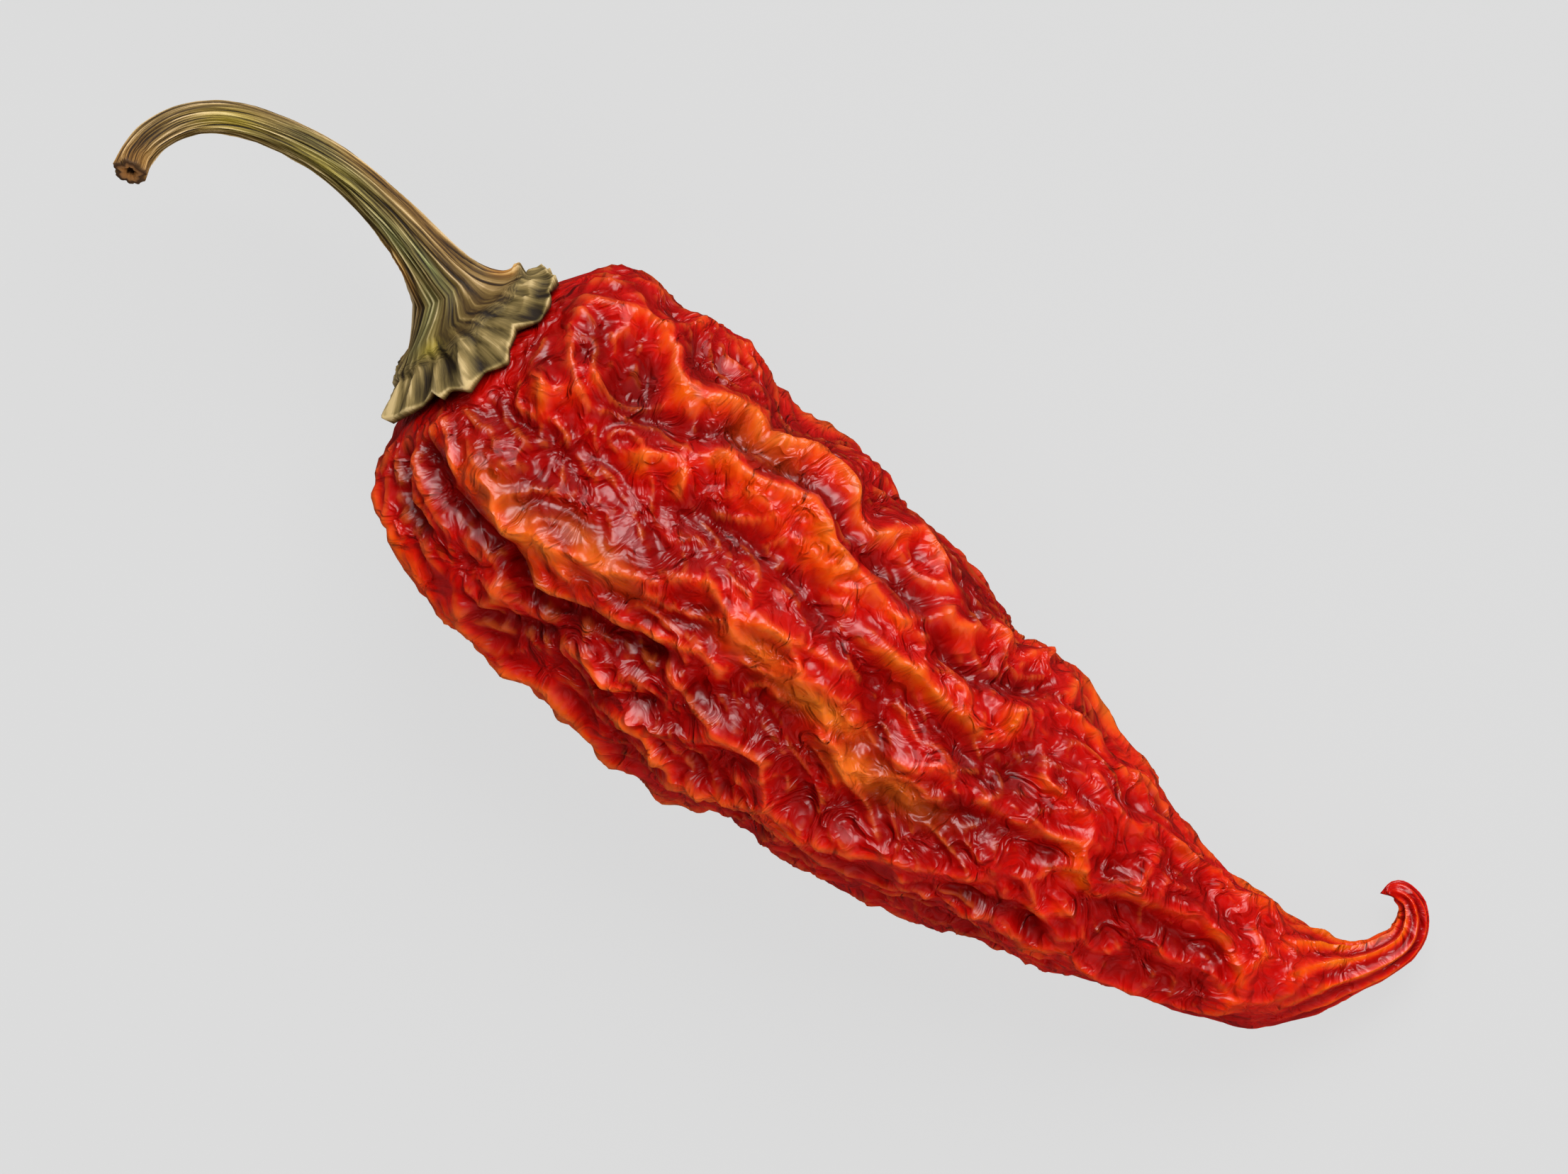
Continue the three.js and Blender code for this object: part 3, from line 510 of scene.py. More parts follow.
def closed_skin(name: str, rows: Array, fields: Mapping[str, Array]) -> bpy.types.Object:
    """Makes a closed mesh from rows of points; the first and the last row are one point each.

    Args:
        name: The piece's name.
        rows: Points in mm, by row and column.
        fields: Values or vectors for the finish, by name, each by row and column.

    Returns:
        The new object, linked to the scene.
    """
    count, around = rows.shape[:2]
    inner = rows[1:-1].reshape(-1, 3)
    points = np.vstack([rows[0, :1], inner, rows[-1, :1]]) * METRES
    ring = np.arange(around)
    following = (ring + 1) % around
    faces: list[tuple[int, ...]] = []
    faces += [(0, 1 + b, 1 + a) for a, b in zip(ring, following)]
    for row in range(count - 3):
        near, far = 1 + row * around, 1 + (row + 1) * around
        faces += [(near + a, near + b, far + b, far + a) for a, b in zip(ring, following)]
    near, last = 1 + (count - 3) * around, len(points) - 1
    faces += [(near + a, near + b, last) for a, b in zip(ring, following)]
    mesh = bpy.data.meshes.new(name)
    mesh.from_pydata(points.tolist(), [], faces)
    mesh.shade_smooth()
    for key, values in fields.items():
        is_vector = values.ndim == 3
        flat = np.concatenate([values[0, :1], values[1:-1].reshape(-1, *values.shape[2:]), values[-1, :1]])
        layer = mesh.attributes.new(key, "FLOAT_VECTOR" if is_vector else "FLOAT", "POINT")
        layer.data.foreach_set("vector" if is_vector else "value", flat.astype(np.float32).ravel())
    piece = bpy.data.objects.new(name, mesh)
    bpy.context.scene.collection.objects.link(piece)
    return piece


# The pod

@dataclass
class PodSkin:
    """The wrinkled red pod, from its dome under the calyx to its curled tip. All sizes are in mm."""

    stations: tuple[tuple[float, ...], ...] = POD_STATIONS
    rows: int = 372                      # rings of points along the pod
    columns: int = 262                   # points in each ring, closer together on the upper side
    upper_share: float = 1.35            # how much closer they stand there
    shoulder: float = 4.5                # length that the calyx covers
    shoulder_rows: int = 14
    valley_share: float = 0.2            # depth of the valleys, as a share of the radius
    crest_level: float = 0.74            # share of that depth below the mean skin
    crest_softness: float = 0.14         # rounds the top of a fold
    fold_blend: float = 3.0              # how sharply one fold gives way to the next
    smallest_radius: float = 0.5
    body_radius: float = 9.0             # where the pod is thinner than this, the crumple is lower too
    thin_depth: float = 0.8              # and its valleys are deeper, by this share of what lacks
    thin_radii: Pair = (2.5, 5.5)        # from one radius to the other, so that the tail keeps its own depth
    crumples: tuple[Crumple, ...] = (
        Crumple((6.0, 3.4, 3.4), 0.65, mean=0.15),
        Crumple((3.2, 2.1, 2.1), 0.72, 31),
    )
    crumple_thinning: float = 1.5        # power of the share of radius by which the crumple gets lower
    crinkles: tuple[Crumple, ...] = (
        Crumple((1.8, 1.3, 1.3), 0.24, 51),
        Crumple((1.0, 0.8, 0.8), 0.07, 61),
    )
    swirl: float = 0.4                   # how far the crinkles are bent, in mm
    swirl_size: float = 4.0
    swirl_salts: tuple[int, int, int] = (91, 95, 99)
    taut: float = 0.6                    # how much lower the crinkles are on a fold's taut crest
    taut_folds: Pair = (0.7, 1.0)
    pleats: int = 9                      # lengthwise pleats round the thin tail
    pleat_height: float = 0.42
    pleat_mean: float = 0.4              # share of that height that lies below the mean skin
    pleat_radii: Pair = (2.53, 4.6)      # the pleats fade in where the pod is thinner than this
    pleat_twist: float = 0.07            # radians per mm
    pleat_wander: Pair = (0.8, 0.5)      # radians, and radians per mm
    cover_past: float = 0.35             # how far past the calyx's rim the skin stays smooth
    cover_fade: float = 1.6              # length over which the relief then grows
    tip_fade: Pair = (0.3, 3.0)          # and lengths from the tip over which it dies away
    rest_spots: tuple[tuple[float, float, float], ...] = ((29, 12, 16), (63, 6, 22))
    under_seed: int = 4711
    under_count: int = 26
    under_points: int = 7
    under_round: Pair = (198.0, 340.0)   # degrees between which they stay
    # Least value and range of each draw: start, stride, height and reach of a fold.
    under_start: Pair = (6.0, 66.0)
    under_stride: Pair = (1.2, 2.6)
    under_bend: float = 26.0             # degrees
    under_rise: Pair = (0.75, 0.3)
    under_reach: Pair = (1.5, 1.1)
    level_tone: float = 0.34             # colour of level skin: 0 is the darkest red and 1 is orange
    # Folds, crinkles and pleats are painted oranger on top and redder in their hollows: partly the flesh's
    # own colour, partly painted glow and painted shade.
    fold_tone: float = 0.34              # what folds, crinkles, pleats and slopes that fall to -Y add to it
    crinkle_tone: float = 0.2
    pleat_tone: float = 0.6
    # Painted glow: slopes that fall to -Y face away from the key light and are painted oranger.
    slope_glow_tone: float = 0.22
    end_tones: tuple[tuple[float, float, float], ...] = ((-0.1, 14.0, 6.0), (0.12, 58.0, 78.0))
    route: Route = field(init=False)
    folds: tuple[Fold, ...] = field(init=False)

    def __post_init__(self) -> None:
        """Works out the middle line and the folds of the hidden side."""
        self.route = Route.through(self.stations, in_plan=True)
        self.folds = (*FOLDS, *self.under_folds())

    def under_folds(self) -> list[Fold]:
        """Draws the folds of the belly and the far side by a seeded wander.

        Returns:
            The folds.
        """
        state = self.under_seed

        def draw(least: float = 0.0, span: float = 1.0) -> float:
            """Gives the next number of the row, from the least value over its span."""
            nonlocal state
            state = (state * 1664525 + 1013904223) & 0xFFFFFFFF
            return least + span * (state / 4294967296.0)

        low, high = self.under_round
        folds = []
        for _ in range(self.under_count):
            along = draw(*self.under_start)
            around = draw(low, high - low)
            line = [(along, around)]
            for _ in range(1, self.under_points):
                along += draw(*self.under_stride)
                around += self.under_bend * (draw() - 0.5)
                line.append((along, min(max(around, low), high)))
            folds.append(Fold(draw(*self.under_rise), draw(*self.under_reach), tuple(line)))
        return folds

    def smooth(self, along: Array, around: Array) -> Array:
        """Places the smooth skin, before any fold.

        Args:
            along: mm along the pod.
            around: Radians round it, 0 at the +Y edge and a quarter turn at the top.

        Returns:
            Points in mm.
        """
        point, tangent, sizes = self.route.at(along)
        across = sideways(tangent) * (sizes[..., 0] * np.cos(around))[..., None]
        return point + across + np.array([0.0, 0.0, 1.0]) * (sizes[..., 1] * np.sin(around))[..., None]

    def normal(self, along: Array, around: Array) -> Array:
        """Finds the direction straight out of the smooth skin.

        Args:
            along: mm along the pod.
            around: Radians round it.

        Returns:
            Directions of length one.
        """
        step = 0.08
        near = np.clip(along, step, self.route.length - step)
        across = self.smooth(near, around + step) - self.smooth(near, around - step)
        forward = self.smooth(near + step / 2, around) - self.smooth(near - step / 2, around)
        return unit(np.cross(across, forward))

    def straightened(self, along: Array, around: Array) -> Array:
        """Gives each place on the skin as if the pod were straight.

        Args:
            along: mm along the pod.
            around: Radians round it.

        Returns:
            mm along, mm to the side and mm up from the middle line.
        """
        sizes = self.route.at(along)[2]
        shape = np.broadcast_shapes(along.shape, around.shape)
        across, up = sizes[..., 0] * np.cos(around), sizes[..., 1] * np.sin(around)
        return np.stack([np.broadcast_to(a, shape) for a in (along, across, up)], -1)

    def fold_rise(self, along: Array, degrees: Array, radius: Array) -> Array:
        """Raises the folds.

        Args:
            along: mm along the pod, one a row.
            degrees: Degrees round it, one a column.
            radius: The skin's radius in mm, one a row.

        Returns:
            0 in a wide valley, about 1 on a crest.
        """
        total = np.zeros(np.broadcast_shapes(along.shape, degrees.shape))
        for fold in self.folds:
            far = distance_to_line(fold.line, along, degrees, radius)
            soft = np.hypot(far, self.crest_softness) - self.crest_softness
            total += (fold.rise * np.exp(-soft / fold.reach)) ** self.fold_blend
        return total ** (1.0 / self.fold_blend)

    def relief(self, along: Array, around: Array) -> dict[str, Array]:
        """Works out how far the wrinkled skin stands out from the smooth one.

        Args:
            along: mm along the pod, one a row.
            around: Radians round it, one a column.

        Returns:
            By name, the height, the height without crumple, the furrows' depth and the share of pleat.
        """
        degrees = np.mod(around / DEGREE, 360.0)
        radius = np.maximum(self.route.at(along)[2].mean(-1), self.smallest_radius)
        folds = self.fold_rise(along, degrees, radius)
        lacking = np.maximum(self.body_radius - radius, 0.0)
        deeper = self.thin_depth * lacking * smooth_step(radius, *self.thin_radii)
        height = self.valley_share * (radius + deeper) * (folds - self.crest_level)
        furrow = np.zeros_like(folds)
        for cleft in CLEFTS:
            far = distance_to_line(cleft.line, along, degrees, radius)
            furrow += cleft.depth * np.exp(-((far / cleft.width) ** 2))
        height = height - furrow
        for middle, turned, reach_along, reach_across, rise in SWELLS:
            across = turn_between(degrees, turned) * DEGREE * radius
            height += rise * np.exp(-(((along - middle) / reach_along) ** 2) - (across / reach_across) ** 2)
        broad = height.copy()
        places = self.straightened(along, around)
        share = np.minimum(radius / self.body_radius, 1.0)
        for crumple in self.crumples:
            height += crumple.height * share**self.crumple_thinning * (crumple.ridges(places) - crumple.mean)
        bends = np.stack([slope_noise(places / self.swirl_size, salt) for salt in self.swirl_salts], -1)
        loose = np.sqrt(share) * (1.0 - self.taut * smooth_step(folds, *self.taut_folds))
        for crumple in self.crinkles:
            ridges = crumple.ridges(places + self.swirl * bends)
            height += crumple.height * loose * (ridges - crumple.mean)
        pleat = self.pleating(along, around, radius)
        height += self.pleat_height * np.minimum(radius / 2.0, 1.0) * pleat
        fade = self.fade(along, around)
        parts = {"height": height, "broad": broad, "furrow": furrow, "pleat": pleat}
        return {name: values * fade for name, values in parts.items()}

    def pleating(self, along: Array, around: Array, radius: Array) -> Array:
        """Raises the lengthwise pleats of the thin tail.

        Args:
            along: mm along the pod, one a row.
            around: Radians round it, one a column.
            radius: The skin's radius in mm, one a row.

        Returns:
            The rise as a share of the pleats' height, 0 where the pod is thick.
        """
        wander, wave = self.pleat_wander
        turned = around + self.pleat_twist * along
        pleat = 1.0 - np.abs(np.sin(0.5 * self.pleats * turned + wander * np.sin(wave * along)))
        return (1.0 - smooth_step(radius, *self.pleat_radii)) * (pleat - self.pleat_mean)

    def fade(self, along: Array, around: Array) -> Array:
        """Finds how much of the relief shows: none under the calyx, at the very tip or where the pod rests.

        Args:
            along: mm along the pod, one a row.
            around: Radians round it, one a column.

        Returns:
            The share that shows.
        """
        cover = self.rim(around) + self.cover_past
        shown = smooth_step(along, cover, cover + self.cover_fade)
        shown = shown * smooth_step(self.route.length - along, *self.tip_fade)
        degrees = np.mod(around / DEGREE, 360.0)
        resting = np.zeros_like(shown)
        for middle, reach_along, reach_round in self.rest_spots:
            far = ((along - middle) / reach_along) ** 2 + ((degrees - 270.0) / reach_round) ** 2
            resting = np.maximum(resting, np.exp(-(far**2)))
        return shown * (1.0 - resting)

    def rim(self, around: Array) -> Array:
        """Finds the calyx's ragged rim.

        Args:
            around: Radians round the pod.

        Returns:
            The rim's place as mm along the pod.
        """
        degrees, reach = zip(*RIM)
        return np.interp(np.mod(around / DEGREE - degrees[0], 360.0) + degrees[0], degrees, reach)

    def grid(self) -> tuple[Array, Array]:
        """Spaces the rings along the pod and the points round it.

        Returns:
            mm along, one a row, and radians round, one a column.
        """
        start = self.shoulder * np.linspace(0.0, 1.0, self.shoulder_rows, endpoint=False) ** 2
        body = np.linspace(self.shoulder, self.route.length, self.rows - self.shoulder_rows)
        even = np.linspace(0.0, TURN, self.columns, endpoint=False)
        crowd = (self.upper_share - 1.0) / (self.upper_share + 1.0)
        around = even + 2.0 * crowd * np.cos(even)
        return np.concatenate([start, body])[:, None], around[None, :]

    def build(self) -> bpy.types.Object:
        """Builds the pod's mesh, with the fields that its finish reads.

        Returns:
            The new object.
        """
        along, around = self.grid()
        relief = self.relief(along, around)
        height = relief["height"]
        points = self.smooth(along, around) + self.normal(along, around) * height[..., None]
        points[..., 2] = np.maximum(points[..., 2], 0.0)
        sharp = height - blurred(height, 1.1, 1.3)
        radius = self.route.at(along)[2].mean(-1)
        fold = (relief["broad"] - blurred(relief["broad"], 5.0, 6.0)) / (0.2 + 0.06 * radius)
        # Painted shade: the clefts, sharp hollows, pleat hollows and low places between folds are darkened.
        hollows = [relief["furrow"], -7.0 * sharp - 0.3, -2.0 * relief["pleat"], -0.8 * fold - 0.4]
        degrees = np.mod(around / DEGREE, 360.0)
        amber = np.zeros_like(height)
        for middle, turned, reach_along, reach_round, strength in AMBER_PATCHES:
            far = ((along - middle) / reach_along) ** 2 + (turn_between(degrees, turned) / reach_round) ** 2
            amber = np.maximum(amber, strength * np.exp(-far))
        fields = {
            "crest": self.tone(along, around, relief, fold),
            # Painted highlight: a light orange line along the sharpest crests.
            "edge": np.clip(8.0 * sharp - 0.35, 0.0, 1.0),
            "furrow": np.clip(np.max(hollows, axis=0), 0.0, 1.0),
            "amber": amber,
            "straight": self.straightened(along, around),
        }
        return closed_skin("pod_skin", points, fields)

    def tone(self, along: Array, around: Array, relief: Mapping[str, Array], fold: Array) -> Array:
        """Works out the colour of the skin from its relief, with painted glow on raised places and on slopes
        that face away from the key light, and painted shade in the hollows.

        Args:
            along: mm along the pod, one a row.
            around: Radians round it, one a column.
            relief: What the relief method gives.
            fold: How far each place stands out of the folds round it, about -1 to 1.

        Returns:
            0 for the darkest red to 1 for orange.
        """
        height = relief["height"]
        fine = height - blurred(height, 2.5, 3.0)
        soft = blurred(height, 1.6, 1.8)
        radius = np.maximum(self.route.at(along)[2].mean(-1), self.smallest_radius)
        arc = radius * np.mod(np.roll(around, -1) - np.roll(around, 1), TURN)
        # Painted glow: slopes that fall to -Y, away from the key light, are painted oranger.
        glow_on_slopes_away_from_key = np.clip((np.roll(soft, 1, 1) - np.roll(soft, -1, 1)) / arc, -0.7, 0.9)
        # Raised places oranger and hollows redder: partly the flesh's own colour, partly painted glow and
        # painted shade.
        tone = self.level_tone + self.fold_tone * fold + self.crinkle_tone * fine
        tone = tone + self.pleat_tone * relief["pleat"] + self.slope_glow_tone * glow_on_slopes_away_from_key
        for change, start, end in self.end_tones:
            tone = tone + change * smooth_step(along, start, end)
        return np.clip(tone, 0.0, 1.0)


@dataclass(frozen=True)
class DriedPodFinish:
    """Skin of an air-dried ripe chilli: a waxy cuticle over deep red flesh.

    Its folds dry to orange where the flesh is thinnest and light glows in it; that glow is painted into the
    colour, as are painted shade that darkens its hollows to the deepest red and a painted highlight along
    its sharpest crests. The wax gives broad soft highlights that fine crinkles break up.
    """

    patch_mm: float = 9.0                # size of the patches where the colour drifts
    mottle_per_mm: float = 1.3           # and of the fine mottle
    # Wrinkles in the wax: spacing in mm, strength, and height in metres. The finest are drawn coarser than
    # real ones, which the picture would lose.
    wrinkles: tuple[tuple[float, float, float], ...] = (
        (2.8, 0.7, 0.0005), (1.3, 0.5, 0.00018), (0.8, 0.4, 0.00008),
    )
    wax_ior: float = 1.45
    # From the darkest hollow to an orange crest; the tone that picks the colour carries painted glow and
    # painted shade besides the flesh's own colour.
    flesh: tuple[tuple[float, str], ...] = (
        (0.0, "#860201"), (0.25, "#a80301"), (0.42, "#c20802"), (0.56, "#d62004"), (0.7, "#e03a02"),
        (0.85, "#e45002"), (1.0, "#e86406"),
    )
    # Colours laid over it, by the mesh's field, with the most that each covers: amber is the flesh's own
    # colour, furrow is painted shade in the hollows and edge is a painted highlight along the sharpest
    # crests.
    overlays: tuple[tuple[str, float, str], ...] = (
        ("amber", 1.0, "#e87a1c"), ("furrow", 0.45, "#780404"), ("edge", 0.3, "#f07c30"),
    )

    def material(self) -> bpy.types.Material:
        """Makes the material.

        Returns:
            The material.
        """
        material, tree = new_material("air-dried chilli skin")
        straight = add_node(tree, "ShaderNodeAttribute", attribute_name="straight").outputs["Vector"]
        tone = add_node(tree, "ShaderNodeAttribute", attribute_name="crest").outputs["Fac"]
        for scale, detail, roughness, reach in (
            (1.0 / self.patch_mm, 3.0, 0.6, 0.2), (self.mottle_per_mm, 4.0, 0.65, 0.08),
        ):
            mottle = add_node(tree, "ShaderNodeTexNoise", {
                "Vector": straight, "Scale": scale, "Detail": detail, "Roughness": roughness,
            })
            change = add_node(tree, "ShaderNodeMapRange", {
                "Value": mottle.outputs["Fac"], "From Min": 0.3, "From Max": 0.7,
                "To Min": -reach, "To Max": reach,
            })
            summed = add_node(tree, "ShaderNodeMath", {0: tone, 1: change.outputs[0]}, operation="ADD")
            tone = summed.outputs[0]
        colour = add_node(tree, "ShaderNodeValToRGB", {"Fac": tone}, stops=self.flesh).outputs["Color"]
        for name, most, code in self.overlays:
            covered = add_node(tree, "ShaderNodeAttribute", attribute_name=name).outputs["Fac"]
            share = add_node(tree, "ShaderNodeMath", {0: covered, 1: most}, operation="MULTIPLY")
            colour = add_node(tree, "ShaderNodeMix", {
                0: share.outputs[0], 6: colour, 7: linear_colour(code),
            }, data_type="RGBA").outputs[2]
        warp = add_node(tree, "ShaderNodeTexNoise", {"Vector": straight, "Scale": 0.35, "Detail": 1.0})
        bent = add_node(tree, "ShaderNodeVectorMath", {
            0: warp.outputs["Color"], 1: (6.0, 6.0, 6.0),
        }, operation="MULTIPLY")
        bent = add_node(tree, "ShaderNodeVectorMath", {0: straight, 1: bent.outputs[0]}, operation="ADD")
        normal = None
        for spacing, strength, height in self.wrinkles:
            stretched = add_node(tree, "ShaderNodeMapping", {
                "Vector": bent.outputs[0], "Scale": (1.1 / spacing, 0.8 / spacing, 0.8 / spacing),
            })
            noise = add_node(tree, "ShaderNodeTexNoise", {
                "Vector": stretched.outputs[0], "Scale": 1.0, "Detail": 0.0, "Distortion": 0.6,
            })
            off = add_node(tree, "ShaderNodeMath", {0: noise.outputs["Fac"], 1: 0.5}, operation="SUBTRACT")
            size = add_node(tree, "ShaderNodeMath", {0: off.outputs[0]}, operation="ABSOLUTE")
            ridge = add_node(tree, "ShaderNodeMapRange", {
                "Value": size.outputs[0], "From Min": 0.0, "From Max": 0.2, "To Min": 1.0, "To Max": 0.0,
            })
            inputs = {"Height": ridge.outputs[0], "Strength": strength, "Distance": height}
            if normal is not None:
                inputs["Normal"] = normal
            normal = add_node(tree, "ShaderNodeBump", inputs).outputs[0]
        roughness = add_node(tree, "ShaderNodeMapRange", {
            "Value": mottle.outputs["Fac"], "From Min": 0.3, "From Max": 0.7, "To Min": 0.26, "To Max": 0.38,
        })
        shader = add_node(tree, "ShaderNodeBsdfPrincipled", {
            "Base Color": colour, "Roughness": roughness.outputs[0], "IOR": self.wax_ior,
            "Subsurface Weight": 0.15, "Subsurface Radius": (1.0, 0.15, 0.06), "Subsurface Scale": 0.0004,
            "Coat Weight": 0.25, "Coat Roughness": 0.16, "Coat IOR": 1.45, "Normal": normal,
        })
        finish_material(tree, shader)
        return material


# The stalk and the calyx

@dataclass
class StalkAndCalyx:
    """The ribbed stalk, which flares into a thin ragged calyx over the pod's dome. All sizes are in mm."""

    pod: PodSkin
    stations: tuple[tuple[float, ...], ...] = STALK_STATIONS
    columns: int = 324
    stalk_rows: int = 210
    calyx_rows: int = 64
    under_rows: int = 12
    first_ring: float = 0.12             # the first ring's distance from the cut end
    flare_rows: int = 7                  # rows each side of the joint that are smoothed to a flare
    flare_rounds: int = 40
    gap: float = 0.3                     # between the dome and the calyx's underside
    foot: float = 0.42                   # share of the way to the rim where the stalk's foot starts
    foot_along: float = 0.95             # mm along the pod there, and how much more on the +Y side
    foot_lean: float = 0.45
    dome_tip: float = 0.02               # the underside's middle stays this far from the dome's tip
    ledge: float = 0.72                  # share of the way where the foot ends in a ledge
    thickness: tuple[Pair, ...] = (
        (0.42, 1.15), (0.6, 1.2), (0.7, 1.3), (0.76, 0.8), (0.9, 0.55), (1.0, 0.4),
    )
    calyx_reach: float = 6.0             # the calyx measures about this from its middle to its rim
    calyx_radius: float = 8.0            # and its rim's radius is about this
    rib_base: float = 0.87               # the half thickness between the ribs, as a share of the listed one
    rib_twist: float = -0.9              # radians from the calyx to the cut end
    pith_radius: float = 0.32            # share of the half thickness at the cut end
    pith_depth: float = 0.5
    # From the middle of the pith to the rim of the cut, as shares of those two.
    pith: tuple[Pair, ...] = (
        (0.0, 1.0), (0.6, 1.0), (0.85, 0.8), (1.0, 0.3), (1.4, 0.02), (1.9, -0.12), (2.4, 0.0),
        (2.8, -0.06),
    )
    grain_radius: float = 3.0            # streaks are as wide as if the stalk had this radius all along
    flap_grain: float = 0.4              # how much shorter the streaks are on the calyx
    # Strands of fibre side by side: how many, wander in radians, rise in mm, change of tone, seed.
    strands: tuple[tuple[int, float, float, float, int], ...] = (
        (17, 0.5, 0.11, 0.5, 81), (31, 0.3, 0.07, 0.5, 84), (23, 0.45, -0.12, -0.5, 87),
        (47, 0.2, 0.035, 0.35, 90), (37, 0.35, -0.07, -0.45, 94),
    )
    strand_tone: float = 0.42            # tone of the fibre between the strands
    strand_length: float = 9.0           # over which strands wander; they fade in and out over a little less
    strand_room: float = 7.0             # strands fade where fewer than this stand in each mm of radius
    calyx_crumple: Crumple = Crumple((3.6, 2.6, 2.6), 0.3, 71)
    crease_width: float = 1.2            # an average crease against its listed half width
    crease_shade: Pair = (2.4, 0.5)      # the dark groove beside it, also painted darker as painted shade: how many half widths off, and how wide
    # The nub beside the foot: degrees round, reach there, share of the way out, reach there, mm high.
    nub: tuple[float, ...] = (12.0, 11.0, 0.58, 0.14, 0.7)
    route: Route = field(init=False)

    def __post_init__(self) -> None:
        """Works out the stalk's middle line."""
        self.route = Route.through(self.stations, in_plan=False)

    def over_dome(self, along: Array, around: Array, lift: Array) -> Array:
        """Places points over the pod's dome.

        Args:
            along: mm along the pod.
            around: Radians round the pod.
            lift: mm off the smooth skin.

        Returns:
            Points in mm.
        """
        return self.pod.smooth(along, around) + self.pod.normal(along, around) * lift[..., None]

    def ribs(self, along: Array, around: Array) -> Array:
        """Raises the stalk's main ribs.

        Args:
            along: mm along the stalk.
            around: Radians round it.

        Returns:
            The outline as a factor on the half thickness.
        """
        degrees = around / DEGREE + self.rib_twist * (1 - along / self.route.length) / DEGREE
        factor = self.rib_base + np.zeros(np.broadcast_shapes(along.shape, around.shape))
        for middle, width, height in RIBS:
            factor = factor + height * np.exp(-((turn_between(degrees, middle) / width) ** 2))
        return factor

    def grain(self, along: Array, around: Array, radius: Array) -> tuple[Array, Array]:
        """Raises the fibres, which run along the stalk and out over the calyx, fork and fade.

        Args:
            along: mm along the stalk and on over the calyx.
            around: Radians round it.
            radius: mm from the middle, which sets how many fibres stand side by side.

        Returns:
            The height of the fibres in mm, and their tone from about 0, dark, to 1, pale.
        """
        turned = around + self.rib_twist * (1 - along / self.route.length)
        height = np.zeros(np.broadcast_shapes(along.shape, around.shape))
        tone = height + self.strand_tone
        for count, wander, rise, change, salt in self.strands:
            slow = self.lattice(along / self.strand_length, turned, 1.3)
            fast = self.lattice(along / (0.6 * self.strand_length), turned, 0.12 * count)
            phase = 0.5 * count * (turned + wander * slope_noise(slow, salt))
            line = (1.0 - np.abs(np.sin(phase))) ** 2
            line = line * smooth_step(slope_noise(fast, salt + 20), -0.25, 0.2)
            line = line * np.minimum(count / (self.strand_room * radius), 1.0)
            height += rise * line * np.minimum(radius / 1.5, 1.3)
            tone += change * line
        return height, tone

    @staticmethod
    def lattice(along: Array, around: Array, radius: float | Array) -> Array:
        """Gives places on a straight rod in lattice cells, for noise that closes on itself round it."""
        return np.stack(np.broadcast_arrays(along, radius * np.cos(around), radius * np.sin(around)), -1)

    def calyx_lift(self, share: Array, around: Array, fibre: Array) -> tuple[Array, Array]:
        """Raises the foot's ledge, the creases, the fibres and the curled rim of the calyx.

        Args:
            share: Share of the way to the rim, one a row.
            around: Radians round, one a column.
            fibre: Height of the fibres in mm.

        Returns:
            mm off the pod's smooth skin, and what the relief adds to the tone: painted shade in the crumple's
            hollows and in the groove beside each crease, and paler creases and crumple ridges, partly the
            fibre's own colour and partly painted highlight.
        """
        degrees = around / DEGREE
        wander = 0.025 * np.sin(7.0 * around + 0.6) + 0.02 * np.sin(13.0 * around + 2.0)
        thick = np.interp(share + wander, *zip(*self.thickness))
        out = np.clip((share - self.ledge) / (1.0 - self.ledge), 0.0, 1.0)
        crease = np.zeros(np.broadcast_shapes(share.shape, around.shape))
        dark = crease
        beside, narrow = self.crease_shade
        for at_foot, at_rim, rise, width in CREASES:
            turned = degrees - at_foot - (at_rim - at_foot) * out
            off = np.abs(turn_between(turned, 0.0)) / (self.crease_width * width)
            crease = np.maximum(crease, rise * np.exp(-off))
            off = np.abs(turn_between(turned, -beside * width)) / (narrow * width)
            dark = np.maximum(dark, rise * np.exp(-off))
        flap = smooth_step(share, self.ledge - 0.02, self.ledge + 0.1)
        places = self.lattice(self.calyx_reach * share, around, self.calyx_radius * share)
        crumple = self.calyx_crumple.ridges(places)
        lift = self.gap + thick + flap * (1.2 * crease - 0.3 * dark - 0.16) + fibre * (0.6 - 0.2 * flap)
        lift = lift + self.calyx_crumple.height * (crumple - 0.45) * (0.3 + 0.7 * flap)
        edge = smooth_step(share, 0.97, 1.0)
        turned, reach_round, middle, reach_out, height = self.nub
        off = turn_between(degrees, turned) / reach_round
        nub = np.exp(-(off**2) - ((share - middle) / reach_out) ** 4)
        lift = lift + height * nub
        # Painted shade in the crumple's hollows and beside each crease; paler creases and crumple ridges are
        # partly the fibre's own colour, partly painted highlight.
        tone = flap * (0.7 * crease - 0.6 * dark + 0.5 * (crumple - 0.55)) + 0.35 * edge + 0.5 * nub
        return lift + self.rim_curl(around) * share**8, tone

    def rim_curl(self, around: Array) -> Array:
        """Gives how far the rim curls up, in mm."""
        return 0.3 + 0.3 * np.sin(5.0 * around + 1.3) * np.sin(3.0 * around + 0.4)

